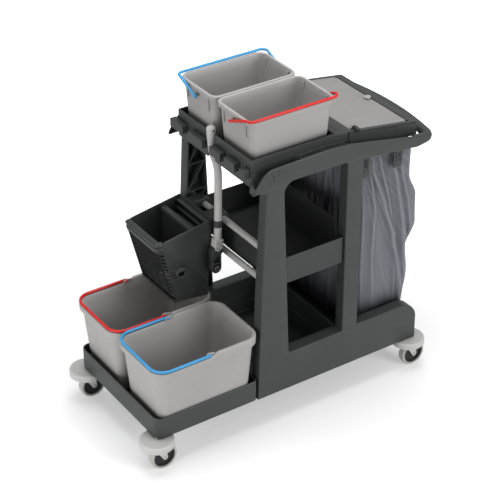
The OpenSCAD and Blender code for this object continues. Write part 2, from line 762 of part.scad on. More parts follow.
// ---------------------------------------------------------------- lever

knee_low = [-131, 590];
knee_high = [-126, 838];
knee_top = [-147, 915];
lever_top = [-150, 990];
lever_r = lever_d / 2;

// A round bar in the lever's plane, from one X-Z point to another
module lever_bar(a, b, r0, r1) {
    d = b - a;
    translate([a[0], lever_y, a[1]]) rotate([0, atan2(d[0], d[1]), 0]) cylinder(h = norm(d), r1 = r0, r2 = r1);
}

module lever_ball(p, r) {
    translate([p[0], lever_y, p[1]]) sphere(r = r);
}

module lever_pivot_pin() {
    color(tube_grey) {
        bar_y(lever_pivot[0], lever_pivot[1], lever_y - lever_r - 0.4, wringer_y0 + 12, lever_pin_r);
        bar_y(lever_pivot[0], lever_pivot[1], lever_y - lever_r - 1.9, lever_y - lever_r - 0.4, lever_pin_r + 3);
    }
}

module lever_knuckle() {
    color(dark) difference() {
        union() {
            bar_y(lever_pivot[0], lever_pivot[1], lever_y - 12, lever_y + 12, 16);
            xz(lever_y - 12, lever_y + 12) polygon([lever_pivot + [-16, 0], lever_pivot + [16, 0],
                knee_low + [13, -18], knee_low + [-13, -18]]);
        }
        bar_y(lever_pivot[0], lever_pivot[1], 0, wringer_y0, lever_pin_r + run_gap);
    }
}

module lever_tube() {
    color(tube_grey) {
        translate([knee_low[0], lever_y, knee_low[1] - 17.8]) cylinder(h = 17.8, r = lever_r);
        lever_ball(knee_low, lever_r + 0.25);
        lever_bar(knee_low, knee_high, lever_r, lever_r);
        lever_ball(knee_high, lever_r + 0.25);
        lever_bar(knee_high, knee_top, lever_r, lever_r);
        lever_ball(knee_top, lever_r + 0.25);
        lever_bar(knee_top, mix(knee_top, lever_top, 0.34), lever_r, lever_r);
    }
}

module lever_collar() {
    a = mix(knee_low, knee_high, 0.22);
    b = mix(knee_low, knee_high, 0.32);
    color(dark) difference() {
        lever_bar(a, b, lever_r + 1.4, lever_r + 1.4);
        lever_bar(mix(a, b, -0.2), mix(a, b, 1.2), lever_r + press_gap, lever_r + press_gap);
    }
}

module lever_grip() {
    start = mix(knee_top, lever_top, 0.345);
    color(light_grey) {
        lever_bar(start, lever_top + [0, 12], lever_r + 1, lever_r + 3);
        lever_ball(lever_top + [0, 12], lever_r + 3.4);
    }
}

// ---------------------------------------------------------------- casters

axle_r = 4;
rim_r = wheel_d / 2 - 8;
crown_z = wheel_d + 3;
crown_t = 6;
crown_r = 27;
fork_in = wheel_w / 2 + 1.5;
fork_t = 3.5;

// Each part is drawn with the swivel axis on Z and the wheel trailing towards +X
module at_caster(end, s) {
    translate([end < 0 ? caster_front_x : caster_rear_x, s * caster_y, 0]) children();
}

module buffer() {
    low = wheel_d + 2;
    top = base_z - 1.5;
    edge = 7;
    color(light_grey) difference() {
        rotate_extrude() polygon(concat([[0, low], [buffer_r - 3, low], [buffer_r, low + 3]],
            arc(buffer_r - edge, top - edge, edge, 0, 90), [[0, top]]));
        translate([0, 0, low - 1]) cylinder(h = 9.5, r = buffer_r - 8);
        translate([0, 0, low - 1]) cylinder(h = 40, r = stem_r + run_gap);
    }
}

module fork() {
    z = wheel_d / 2;
    color(light_grey) difference() {
        union() {
            translate([0, 0, crown_z]) cylinder(h = crown_t, r = crown_r);
            for (s = [-1, 1]) {
                y = s > 0 ? fork_in : -fork_in - fork_t;
                bar_y(trail, z, y, y + fork_t, 9);
                xz(y, y + fork_t) polygon([[-16, crown_z + 1], [-16, crown_z - 8], [trail - 8.5, z - 3],
                    [trail + 8.5, z - 3], [24, crown_z - 8], [24, crown_z + 1]]);
            }
        }
        translate([0, 0, crown_z - 1]) cylinder(h = crown_t + 2, r = stem_r + run_gap);
        bar_y(trail, z, -40, 40, axle_r + press_gap);
    }
}

module axle() {
    color(tube_grey) bar_y(trail, wheel_d / 2, -fork_in - fork_t - 1.5, fork_in + fork_t + 1.5, axle_r);
}

module wheel() {
    half = wheel_w / 2;
    color([0.12, 0.12, 0.12]) translate([trail, 0, wheel_d / 2]) rotate([90, 0, 0]) rotate_extrude() polygon([
        [axle_r + run_gap, -half - 0.8], [10, -half - 0.8], [10, -half + 5], [rim_r - 6, -half + 5], [rim_r - 6, -half + 1],
        [rim_r - 0.03, -half + 1], [rim_r - 0.03, half - 1], [rim_r - 6, half - 1], [rim_r - 6, half - 5],
        [10, half - 5], [10, half + 0.8], [axle_r + run_gap, half + 0.8]]);
}

module tyre() {
    half = wheel_w / 2;
    outer = wheel_d / 2;
    color(light_grey) translate([trail, 0, outer]) rotate([90, 0, 0]) rotate_extrude() polygon(concat(
        [[rim_r, half], [rim_r, -half]], arc(outer - 4, -half + 4, 4, -90, 0, 4), arc(outer - 4, half - 4, 4, 0, 90, 4)));
}

module caster_stems() {
    color(tube_grey) for (end = [-1, 1], s = [-1, 1]) at_caster(end, s) {
        translate([0, 0, crown_z - 0.8]) cylinder(h = stem_top - crown_z - 0.2, r = stem_r);
        translate([0, 0, wheel_d + 1]) cylinder(h = 1.2, r = stem_r + 3);
    }
}

base_pan();
left_side_frame();
right_side_frame();
top_deck();
deck_bridge();
tool_rack();
shelf_tray();
upper_cross_tube();
lower_cross_tube();
push_handle();
frame_screws();
caster_stems();
hinge_pins();
bag_lid_frame();
bag_lid_flap();
flap_pull_knob();
bag_clip_front_left();
bag_clip_rear_left();
bag_clip_front_right();
bag_clip_rear_right();
waste_bag();
left_bucket();
left_bucket_bail();
right_bucket();
right_bucket_bail();
left_caddy();
left_caddy_bail();
right_caddy();
right_caddy_bail();
wringer_body();
wringer_grille();
press_plate();
press_shaft();
lever_pivot_pin();
lever_knuckle();
lever_tube();
lever_collar();
lever_grip();
at_caster(-1, -1) buffer();  // front_left_buffer
at_caster(-1, -1) fork();  // front_left_fork
at_caster(-1, -1) axle();  // front_left_axle
at_caster(-1, -1) wheel();  // front_left_wheel
at_caster(-1, -1) tyre();  // front_left_tyre
at_caster(-1, 1) buffer();  // front_right_buffer
at_caster(-1, 1) fork();  // front_right_fork
at_caster(-1, 1) axle();  // front_right_axle
at_caster(-1, 1) wheel();  // front_right_wheel
at_caster(-1, 1) tyre();  // front_right_tyre
at_caster(1, -1) buffer();  // rear_left_buffer
at_caster(1, -1) fork();  // rear_left_fork
at_caster(1, -1) axle();  // rear_left_axle
at_caster(1, -1) wheel();  // rear_left_wheel
at_caster(1, -1) tyre();  // rear_left_tyre
at_caster(1, 1) buffer();  // rear_right_buffer
at_caster(1, 1) fork();  // rear_right_fork
at_caster(1, 1) axle();  // rear_right_axle
at_caster(1, 1) wheel();  // rear_right_wheel
at_caster(1, 1) tyre();  // rear_right_tyre
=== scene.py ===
"""Looks of the housekeeping cart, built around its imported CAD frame.

Every length in the helpers is in millimetres in the row frame: +X towards the
push handle, -Y the left side, +Z up. Meshes are scaled to metres when made.
"""

import math

import bmesh
import bpy
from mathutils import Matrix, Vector, noise
from mathutils.geometry import tessellate_polygon


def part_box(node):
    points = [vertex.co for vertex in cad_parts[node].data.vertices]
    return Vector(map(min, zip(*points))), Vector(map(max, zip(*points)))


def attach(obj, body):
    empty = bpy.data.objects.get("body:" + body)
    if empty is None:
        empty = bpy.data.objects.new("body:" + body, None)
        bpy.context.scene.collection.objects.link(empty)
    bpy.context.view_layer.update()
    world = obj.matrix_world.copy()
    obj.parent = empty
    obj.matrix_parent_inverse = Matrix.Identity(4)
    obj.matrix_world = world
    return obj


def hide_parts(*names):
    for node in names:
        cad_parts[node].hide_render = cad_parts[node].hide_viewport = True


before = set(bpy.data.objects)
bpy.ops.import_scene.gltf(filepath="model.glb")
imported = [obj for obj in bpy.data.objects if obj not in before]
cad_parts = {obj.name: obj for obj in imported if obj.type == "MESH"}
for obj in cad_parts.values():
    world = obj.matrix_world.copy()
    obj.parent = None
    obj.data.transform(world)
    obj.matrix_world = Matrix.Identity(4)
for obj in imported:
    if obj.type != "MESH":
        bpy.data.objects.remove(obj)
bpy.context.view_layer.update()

MM = 0.001
LEFT = -1
RIGHT = 1


# ------------------------------------------------------------ small geometry

def mix(a, b, t):
    return a + (b - a) * t


def smooth(t):
    t = min(max(t, 0.0), 1.0)
    return t * t * (3 - 2 * t)


def node_box(name):
    """Lowest and highest corner of a CAD node, in millimetres."""
    low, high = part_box(name)
    return low / MM, high / MM


def arc(cx, cy, r, a0, a1, steps=8):
    """Points on a circle from angle a0 to a1, in degrees."""
    angles = [math.radians(mix(a0, a1, i / steps)) for i in range(steps + 1)]
    return [(cx + r * math.cos(a), cy + r * math.sin(a)) for a in angles]


def fillet(points, radii, steps=6):
    """The closed outline with each corner rounded to its own radius."""
    out = []
    count = len(points)
    for i, (p, r) in enumerate(zip(points, radii)):
        here = Vector(p)
        back = Vector(points[i - 1]) - here
        ahead = Vector(points[(i + 1) % count]) - here
        if r <= 0:
            out.append((p[0], p[1]))
            continue
        back.normalize()
        ahead.normalize()
        half = back.angle(ahead) / 2
        reach = r / math.tan(half)
        start = here + back * reach
        end = here + ahead * reach
        middle = here + (back + ahead).normalized() * (r / math.sin(half))
        v0 = start - middle
        v1 = end - middle
        turn = v0.angle(v1)
        for k in range(steps + 1):
            t = k / steps
            w0 = math.sin((1 - t) * turn) / math.sin(turn)
            w1 = math.sin(t * turn) / math.sin(turn)
            q = middle + v0 * w0 + v1 * w1
            out.append((q.x, q.y))
    return out


def area(loop):
    pairs = zip(loop, loop[1:] + loop[:1])
    return sum(p[0] * q[1] - q[0] * p[1] for p, q in pairs) / 2


def inset(loop, d):
    """The closed outline moved inwards by d."""
    sign = 1 if area(loop) > 0 else -1
    out = []
    for i, p in enumerate(loop):
        before = Vector(p) - Vector(loop[i - 1])
        after = Vector(loop[(i + 1) % len(loop)]) - Vector(p)
        if before.length < 1e-6:
            before = after
        if after.length < 1e-6:
            after = before
        n0 = Vector((-before.y, before.x)).normalized() * sign
        n1 = Vector((-after.y, after.x)).normalized() * sign
        m = (n0 + n1).normalized()
        reach = d / max(m.dot(n0), 0.35)
        out.append((p[0] + m.x * reach, p[1] + m.y * reach))
    return out


def rounded_rect(cx, cy, l, w, r, corner=8, along=1, across=1):
    """A closed rectangle with round corners; along and across cut up its sides."""
    r = min(r, l / 2 - 0.1, w / 2 - 0.1)
    hx, hy = l / 2 - r, w / 2 - r
    out = []
    corners = [(1, 1, 0), (-1, 1, 90), (-1, -1, 180), (1, -1, 270)]
    for i, (sx, sy, a) in enumerate(corners):
        out += arc(cx + sx * hx, cy + sy * hy, r, a, a + 90, corner)
        parts = along if i % 2 == 0 else across
        nx, ny, na = corners[(i + 1) % 4]
        p = out[-1]
        a1 = math.radians(na)
        q = (cx + nx * hx + r * math.cos(a1), cy + ny * hy + r * math.sin(a1))
        out += [(mix(p[0], q[0], k / parts), mix(p[1], q[1], k / parts)) for k in range(1, parts)]
    return out


class Shape:
    """Collects the vertices and faces of one piece."""

    def __init__(self):
        self.verts = []
        self.faces = []

    def add(self, verts, faces):
        base = len(self.verts)
        self.verts += [tuple(v) for v in verts]
        self.faces += [[base + i for i in f] for f in faces]
        return self

    def cap(self, loops, place):
        """A flat face bounded by the first loop, with the others as holes."""
        flat = [[Vector((p[0], p[1], 0)) for p in loop] for loop in loops]
        points = [place(p[0], p[1]) for loop in loops for p in loop]
        return self.add(points, tessellate_polygon(flat))

    def loft(self, rings, ends=(True, True), closed=True):
        """Skin between rings of 3-D points that have the same count."""
        n = len(rings[0])
        faces = []
        last = n if closed else n - 1
        for i in range(len(rings) - 1):
            for k in range(last):
                m = (k + 1) % n
                faces.append((i * n + k, i * n + m, (i + 1) * n + m, (i + 1) * n + k))
        if ends[0]:
            faces.append(tuple(range(n))[::-1])
        if ends[1]:
            faces.append(tuple(range((len(rings) - 1) * n, len(rings) * n)))
        return self.add([p for ring in rings for p in ring], faces)

    def prism(self, outline, low, high, place, r_low=0.0, r_high=0.0, holes=(), pockets=(), depth=0.0):
        """A plate between two levels with rounded edges, through holes and pockets from the high side."""
        loops = [outline] + list(holes)

        def ring(loop, k, d, level):
            return [place(p[0], p[1], level) for p in inset(loop, d if k == 0 else -d)]

        steps = rounded_edge(r_low, low, 1) + rounded_edge(r_high, high, -1)[::-1]
        for k, loop in enumerate(loops):
            self.loft([ring(loop, k, d, level) for d, level in steps], ends=(False, False))
        low_loops = [inset(loop, r_low if k == 0 else -r_low) for k, loop in enumerate(loops)]
        high_loops = [inset(loop, r_high if k == 0 else -r_high) for k, loop in enumerate(loops)]
        self.cap(low_loops, lambda a, b: place(a, b, low))
        self.cap(high_loops + list(pockets), lambda a, b: place(a, b, high))
        for pocket in pockets:
            walls = [[place(a, b, level) for a, b in pocket] for level in (high, high - depth)]
            self.loft(walls, ends=(False, False))
            self.cap([pocket], lambda a, b: place(a, b, high - depth))
        return self

    def tube(self, path, radii, sides=20, up=(0, 0, 1), rounded=True):
        """A round bar swept along 3-D points."""
        points = [Vector(p) for p in path]
        if not hasattr(radii, "__len__"):
            radii = [radii] * len(points)
        radii = list(radii)
        if rounded:
            points, radii = round_ends(points, radii)
        rings = []
        for i, p in enumerate(points):
            a = points[max(i - 1, 0)]
            b = points[min(i + 1, len(points) - 1)]
            t = (b - a).normalized()
            side = t.cross(Vector(up))
            if side.length < 1e-6:
                side = t.cross(Vector((1, 0, 0)))
            side.normalize()
            top = side.cross(t)
            ring = []
            for k in range(sides):
                angle = 2 * math.pi * k / sides
                ring.append(p + side * (radii[i] * math.cos(angle)) + top * (radii[i] * math.sin(angle)))
            rings.append(ring)
        return self.loft(rings)

    def lathe(self, profile, centre, axis=(0, 0, 1), sides=48):
        """A closed (radius, height) profile spun about an axis through centre."""
        turn = Vector((0, 0, 1)).rotation_difference(Vector(axis)).to_matrix()
        rings = []
        for k in range(sides + 1):
            a = 2 * math.pi * k / sides
            spun = [Vector((r * math.cos(a), r * math.sin(a), h)) for r, h in profile]
            rings.append([turn @ p + Vector(centre) for p in spun])
        return self.loft(rings, ends=(False, False))

    def mirrored(self, side):
        """Drawn on the -Y side; side RIGHT puts it on the other one."""
        if side == RIGHT:
            self.verts = [(x, -y, z) for x, y, z in self.verts]
        return self


def rounded_edge(r, level, up, rounds=3):
    """Inset and height of each step round a plate's edge, from its flat face."""
    angles = [math.radians(90 * i / rounds) for i in range(rounds + 1)] if r else [0.0]
    return [(r * (1 - math.sin(t)), level + up * r * (1 - math.cos(t))) for t in angles]


def round_ends(points, radii, steps=4):
    """Adds the shrinking stations of a domed end at both ends of a swept bar."""
    first = (points[0] - points[1]).normalized()
    last = (points[-1] - points[-2]).normalized()
    head, head_r, tail, tail_r = [], [], [], []
    for k in range(steps, 0, -1):
        t = math.radians(88 * k / steps)
        head.append(points[0] + first * (radii[0] * 0.6 * math.sin(t)))
        head_r.append(radii[0] * math.cos(t))
        tail.append(points[-1] + last * (radii[-1] * 0.6 * math.sin(t)))
        tail_r.append(radii[-1] * math.cos(t))
    return head + points + tail[::-1], head_r + radii + tail_r[::-1]


def piece(name, shape, body, look, stands_for=(), sharp=38):
    """Makes the object, lets it ride on its body and hides the CAD nodes it stands for."""
    mesh = bpy.data.meshes.new(name)
    mesh.from_pydata([(x * MM, y * MM, z * MM) for x, y, z in shape.verts], [], shape.faces)
    bm = bmesh.new()
    bm.from_mesh(mesh)
    bmesh.ops.remove_doubles(bm, verts=bm.verts, dist=2e-6)
    bmesh.ops.dissolve_degenerate(bm, edges=bm.edges, dist=1e-6)
    bmesh.ops.recalc_face_normals(bm, faces=bm.faces)
    bm.to_mesh(mesh)
    bm.free()
    mesh.polygons.foreach_set("use_smooth", [True] * len(mesh.polygons))
    mesh.set_sharp_from_angle(angle=math.radians(sharp))
    obj = bpy.data.objects.new(name, mesh)
    bpy.context.scene.collection.objects.link(obj)
    mesh.materials.append(LOOKS[look])
    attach(obj, body)
    if stands_for:
        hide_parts(*stands_for)
    return obj


def soften(obj, width):
    """Rounds the sharp edges of a CAD node by modifiers."""
    weld = obj.modifiers.new("weld", "WELD")
    weld.merge_threshold = 2e-5
    flat = obj.modifiers.new("flat", "DECIMATE")
    flat.decimate_type = 'DISSOLVE'
    flat.angle_limit = math.radians(1.0)
    bevel = obj.modifiers.new("bevel", "BEVEL")
    bevel.width = width * MM
    bevel.segments = 2
    bevel.limit_method = 'ANGLE'
    bevel.angle_limit = math.radians(30)
    bevel.harden_normals = False
    normal = obj.modifiers.new("normals", "WEIGHTED_NORMAL")
    normal.keep_sharp = False
    obj.data.polygons.foreach_set("use_smooth", [True] * len(obj.data.polygons))


def in_xz(x, z, y):
    return (x, y, z)


def in_yz(y, z, x):
    return (x, y, z)


def disc(cx, cy, r, steps):
    return arc(cx, cy, r, 0, 360, steps)[:-1]


def rect(x0, y0, x1, y1):
    return [(x0, y0), (x1, y0), (x1, y1), (x0, y1)]


# ------------------------------------------------------------ materials

def linear(hexcode):
    """Linear colour of an sRGB hex string."""
    out = []
    for i in (0, 2, 4):
        c = int(hexcode[i:i + 2], 16) / 255
        out.append(c / 12.92 if c <= 0.04045 else ((c + 0.055) / 1.055) ** 2.4)
    return out + [1.0]


class Nodes:
    """Short calls for wiring a material's nodes."""

    def __init__(self, name):
        self.material = bpy.data.materials.new(name)
        self.material.use_nodes = True
        self.tree = self.material.node_tree
        self.shader = self.tree.nodes["Principled BSDF"]
        self.coords = self.tree.nodes.new("ShaderNodeTexCoord").outputs["Object"]

    def new(self, kind, **values):
        node = self.tree.nodes.new(kind)
        for key, value in values.items():
            if key in node.inputs:
                node.inputs[key].default_value = value
            else:
                setattr(node, key, value)
        return node

    def link(self, a, b):
        self.tree.links.new(a, b)

    def feed(self, socket, value):
        """Gives a socket an output or a plain value."""
        if hasattr(value, "is_linked"):
            self.link(value, socket)
        else:
            socket.default_value = value

    def skin(self, **values):
        """Feeds inputs of the main shader, named with _ for a space."""
        for key, value in values.items():
            self.feed(self.shader.inputs[key.replace("_", " ")], value)

    def bump(self, height, strength, distance):
        node = self.new("ShaderNodeBump", Strength=strength, Distance=distance)
        self.link(height, node.inputs["Height"])
        self.skin(Normal=node.outputs[0])

    def mixed(self, factor, a, b):
        """Shader between a and b."""
        node = self.new("ShaderNodeMixShader")
        for socket, value in zip(node.inputs, (factor, a, b)):
            self.feed(socket, value)
        return node.outputs[0]

    def noise(self, size_mm, detail=2.0, roughness=0.5, coords=None):
        """Noise whose features are about size_mm across."""
        node = self.new("ShaderNodeTexNoise", Scale=1000.0 / size_mm, Detail=detail, Roughness=roughness)
        self.link(coords or self.coords, node.inputs["Vector"])
        return node.outputs["Fac"]

    def ranged(self, value, low, high, out_low, out_high):
        node = self.new("ShaderNodeMapRange")
        for key, number in zip(("From Min", "From Max", "To Min", "To Max"), (low, high, out_low, out_high)):
            node.inputs[key].default_value = number
        self.link(value, node.inputs["Value"])
        return node.outputs["Result"]

    def blend(self, factor, a, b, kind='MIX'):
        """Colour between a and b; each is a colour or an output."""
        node = self.new("ShaderNodeMix", data_type='RGBA', blend_type=kind)
        colours = [s for s in node.inputs if s.type == 'RGBA']
        for socket, value in zip([node.inputs[0]] + colours, (factor, a, b)):
            self.feed(socket, value)
        return next(s for s in node.outputs if s.type == 'RGBA')

    def multiplied(self, a, b):
        """Product of two colours."""
        return self.blend(1.0, a, b, 'MULTIPLY')

    def times(self, a, b):
        node = self.new("ShaderNodeMath", operation='MULTIPLY')
        for socket, value in zip(node.inputs, (a, b)):
            self.feed(socket, value)
        return node.outputs[0]

    def edge(self, radius_mm):
        """1 on convex and concave edges, 0 on flats."""
        bevel = self.new("ShaderNodeBevel", Radius=radius_mm * MM, samples=4)
        geometry = self.new("ShaderNodeNewGeometry")
        dot = self.new("ShaderNodeVectorMath", operation='DOT_PRODUCT')
        self.link(bevel.outputs[0], dot.inputs[0])
        self.link(geometry.outputs["Normal"], dot.inputs[1])
        return self.ranged(dot.outputs["Value"], 0.88, 0.995, 1.0, 0.0)


def scaled(colour, k):
    return [min(c * k, 1.0) for c in colour[:3]] + [1.0]


def plastic(name, hexcode, rough=0.45, grain_mm=0.9, grain=0.25, mottle=0.06, wear_and_highlight=0.35, specular=0.4):
    """Moulded plastic: fine grain, slow tone changes, edges painted lighter, partly as worn spots and partly
    as painted highlight.
    """
    n = Nodes(name)
    colour = linear(hexcode)
    slow = n.ranged(n.noise(140, 3.0, 0.6), 0.3, 0.7, 0.0, 1.0)
    base = n.blend(slow, scaled(colour, 1 - mottle), scaled(colour, 1 + mottle))
    specks = n.ranged(n.noise(grain_mm * 1.6, 1.0), 0.35, 0.65, 0.94, 1.06)
    shade = n.new("ShaderNodeVectorMath", operation='SCALE')
    n.link(base, shade.inputs[0])
    n.link(specks, shade.inputs["Scale"])
    # Painted highlight and wear: edges are painted lighter, in scuffed patches
    rubbed_and_highlit = n.times(n.edge(1.6), n.ranged(n.noise(26, 4.0, 0.7), 0.35, 0.65, wear_and_highlight * 0.3, wear_and_highlight))
    final = n.blend(rubbed_and_highlit, shade.outputs[0], scaled([c + 0.05 for c in colour], 1.9))
    # Painted shade: the colour darkens in inside corners, by ambient occlusion
    corners = n.new("ShaderNodeAmbientOcclusion", Distance=0.03)
    unoccluded = n.ranged(corners.outputs["AO"], 0.3, 0.85, 0.0, 1.0)
    painted_corner_shade = n.multiplied(final, n.blend(unoccluded, (0.6, 0.6, 0.6, 1), (1, 1, 1, 1)))
    patchy = n.ranged(n.noise(38, 4.0, 0.65), 0.3, 0.7, rough - 0.06, rough + 0.07)
    n.skin(Base_Color=painted_corner_shade, Roughness=patchy, Specular_IOR_Level=specular)
    n.bump(n.noise(grain_mm, 2.0), grain, 0.00012)
    return n.material


def coated_tube(name, hexcode):
    """Smooth painted tube with a faint orange-peel and a soft sheen."""
    n = Nodes(name)
    colour = linear(hexcode)
    base = n.blend(n.ranged(n.noise(60, 3.0), 0.3, 0.7, 0.0, 1.0), scaled(colour, 0.96), scaled(colour, 1.04))
    patchy = n.ranged(n.noise(12, 3.0), 0.3, 0.7, 0.3, 0.4)
    n.skin(Base_Color=base, Roughness=patchy, Coat_Weight=0.15)
    n.bump(n.noise(2.2, 1.0), 0.08, 0.0001)
    return n.material


def rubber(name, hexcode):
    """Soft tyre: matt, with fine turning lines and a dusty tone."""
    n = Nodes(name)
    colour = linear(hexcode)
    dust = n.ranged(n.noise(9, 5.0, 0.7), 0.35, 0.7, 0.0, 1.0)
    n.skin(Base_Color=n.blend(dust, scaled(colour, 0.9), scaled(colour, 1.05)), Roughness=0.6)
    n.bump(n.noise(1.4, 3.0, 0.7), 0.2, 0.00015)
    return n.material


def brushed_steel(name, hexcode):
    n = Nodes(name)
    patchy = n.ranged(n.noise(3, 4.0, 0.7), 0.3, 0.7, 0.28, 0.42)
    n.skin(Base_Color=linear(hexcode), Metallic=0.9, Roughness=patchy)
    n.bump(n.noise(0.5, 2.0), 0.1, 0.00005)
    return n.material


def clear_plastic(name, hexcode):
    """Nearly clear moulded knob with a slightly frosted skin."""
    n = Nodes(name)
    patchy = n.ranged(n.noise(5, 3.0), 0.3, 0.7, 0.12, 0.24)
    n.skin(Base_Color=linear(hexcode), Transmission_Weight=0.55, Roughness=patchy, IOR=1.46)
    return n.material


def thin_film(name, hexcode):
    """Translucent waste bag: light passes through, fine vertical creases."""
    n = Nodes(name)
    colour = linear(hexcode)
    mapping = n.new("ShaderNodeMapping")
    mapping.inputs["Scale"].default_value = (1.0, 1.0, 0.12)
    n.link(n.coords, mapping.inputs["Vector"])
    streaks = n.noise(14, 5.0, 0.65, mapping.outputs[0])
    tone = n.ranged(streaks, 0.3, 0.7, 0.0, 1.0)
    streaked = n.blend(tone, scaled(colour, 0.93), scaled(colour, 1.06))
    # Painted light and shade: crests are painted paler and hollows darker, and the film is painted darker by
    # ambient occlusion where other surfaces lie close
    crest = n.ranged(n.new("ShaderNodeNewGeometry").outputs["Pointiness"], 0.465, 0.53, 0.0, 1.0)
    painted_crest_light_and_shade = n.blend(crest, (0.55, 0.55, 0.57, 1), (1.35, 1.35, 1.35, 1))
    film_occlusion = n.new("ShaderNodeAmbientOcclusion", Distance=0.12)
    film_unoccluded = n.ranged(film_occlusion.outputs["AO"], 0.45, 0.95, 0.0, 1.0)
    painted_close_shade = n.blend(film_unoccluded, (0.16, 0.16, 0.17, 1), (1, 1, 1, 1))
    base = n.multiplied(n.multiplied(streaked, painted_crest_light_and_shade), painted_close_shade)
    n.skin(Base_Color=base, Roughness=0.36, Specular_IOR_Level=0.45)
    n.bump(streaks, 0.15, 0.0012)
    through = n.new("ShaderNodeBsdfTranslucent")
    n.link(base, through.inputs["Color"])
    clear = n.new("ShaderNodeBsdfTransparent")
    glow = n.mixed(0.35, n.shader.outputs[0], through.outputs[0])
    n.link(n.mixed(0.16, glow, clear.outputs[0]), n.tree.nodes["Material Output"].inputs["Surface"])
    return n.material


LOOKS = {
    "graphite_plastic": plastic("graphite_plastic", "3e4140", rough=0.42, grain=0.3),
    "dark_plastic": plastic("dark_plastic", "373938", rough=0.42, grain=0.3),
    # Graphite painted darker, as the shade deep in the rail trough
    "trough_shade_graphite": plastic("trough_shade_graphite", "2a2c2b", rough=0.42, grain=0.3),
    "bucket_plastic": plastic("bucket_plastic", "aaa8a7", rough=0.42, grain=0.12, mottle=0.03, wear_and_highlight=0.18),
    "light_plastic": plastic("light_plastic", "c4c4c3", rough=0.45, grain=0.2, mottle=0.04, wear_and_highlight=0.15),
    "wheel_plastic": plastic("wheel_plastic", "242524", rough=0.4, grain=0.25),
    "tyre_rubber": rubber("tyre_rubber", "b9b9b6"),
    "red_plastic": plastic("red_plastic", "d0221f", rough=0.33, grain=0.1, mottle=0.04, wear_and_highlight=0.12),
    "blue_plastic": plastic("blue_plastic", "3c9bd3", rough=0.33, grain=0.1, mottle=0.04, wear_and_highlight=0.12),
    "lever_coating": coated_tube("lever_coating", "bab9b8"),
    "flap_plastic": plastic("flap_plastic", "8f8d8c", rough=0.38, grain=0.3, mottle=0.03, wear_and_highlight=0.15),
    "bag_film": thin_film("bag_film", "9c9da6"),
    "steel": brushed_steel("steel", "b9bab8"),
    "knob_plastic": clear_plastic("knob_plastic", "d8dad8"),
}


# ------------------------------------------------------------ CAD nodes that stay

def dress_cad_nodes():
    """Gives each CAD node its slot's material, and softened edges."""
    widths = {
        "top_deck": 1.6, "deck_bridge": 1.4, "tool_rack": 1.8, "shelf_tray": 1.0, "hinge_pins": 0.8,
        "lever_collar": 0.8, "press_plate": 0.8, "lever_pivot_pin": 0.5, "frame_screws": 0.6,
    }
    for name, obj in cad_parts.items():
        obj.data.materials.clear()
        obj.data.materials.append(LOOKS[slot_of(name)])
        soften(obj, widths.get(name, 0.7))


def slot_of(node):
    """Material slot of a CAD node, by what the node is."""
    if node.endswith("_tyre"):
        return "tyre_rubber"
    if node.endswith("_wheel"):
        return "wheel_plastic"
    if node.endswith(("_buffer", "_fork")) or node == "lever_grip":
        return "light_plastic"
    if node.endswith("_axle") or node in ("frame_screws", "caster_stems", "press_shaft", "lever_pivot_pin"):
        return "steel"
    if node in ("lever_tube", "upper_cross_tube", "lower_cross_tube"):
        return "lever_coating"
    if node in ("left_bucket", "right_bucket", "left_caddy", "right_caddy"):
        return "bucket_plastic"
    if node in ("left_bucket_bail", "right_caddy_bail"):
        return "blue_plastic"
    if node in ("right_bucket_bail", "left_caddy_bail"):
        return "red_plastic"
    if node.startswith(("wringer", "press_plate", "lever_", "hinge_pins", "shelf")):
        return "dark_plastic"
    special = {"bag_lid_flap": "flap_plastic", "flap_pull_knob": "knob_plastic", "waste_bag": "bag_film"}
    return special.get(node, "graphite_plastic")


dress_cad_nodes()


# ------------------------------------------------------------ side frames

SIDE_Y = 245.0
INNER_Y = 205.0
SKIN = 4.0
CLIP_X = (277.0, 411.0)
CLIP_DROP = 9.0
WINDOW = {"x0": -28.0, "sill": 262.0, "lean": 26 / 600, "x1": 187.0, "top_r": 38.0}
DECK_TOP = 990.0
STEP_X = 163.0
DECK_END_X = 198.0
PLATE_END_X = 458.0
CHANNEL_END_X = 452.0
DECK_STEP_TOP = 969.0
HORN = (-168.0, 890.0)
HANDLE_R = 17.2
HANDLE_Y, HANDLE_Z = -228, 884
HANDLE_ROOT_X = 505


def rail_top(x):
    if x < 100:
        return 962 + 4 * (x + 87) / 187
    return 966 - 63 * smooth((x - 100) / 460)


def rail_low(x):
    return 900.0 if x < 182 else 899 - 0.107 * (x - 182)


def front_x(z):
    if z < 507:
        return mix(-147, -135, (z - 120) / 387)
    return mix(-135, -116, (z - 507) / 383)


def window_x(z):
    return WINDOW["x0"] - WINDOW["lean"] * (z - WINDOW["sill"])


def trough_floor(x):
    """Height of the rail's trough: deep at the horn, a pad with holes, then a channel beside the lid."""
    if x < 100:
        horn = mix(HORN[1] + 3.0, 904.0, smooth((x - HORN[0]) / 60))
        return mix(horn, rail_top(x) - 10.5, smooth((x - 2) / 14))
    return mix(rail_top(x) - 10.5, rail_low(x) + 12, smooth((x - 200) / 26))


def frame_outline(top_line, end_x):
    """Outline of the side frame under a given top line that ends at end_x."""
    foot = [(-147, 120), (-135, 507), (-117, 882)]
    tail = [(end_x, rail_low(end_x)), (247, rail_low(247)), (247, 268)]
    heel = arc(434, 201, 67, 90, 8, 7) + [(501, 120)]
    return foot + top_line + tail + heel


def window_outline():
    w = WINDOW
    left_top = window_x(900 - w["top_r"])
    points = [(w["x0"], w["sill"]), (left_top, 900), (w["x1"], rail_low(w["x1"])), (w["x1"], w["sill"])]
    return fillet(points, [7, w["top_r"], 12, 7], 8)


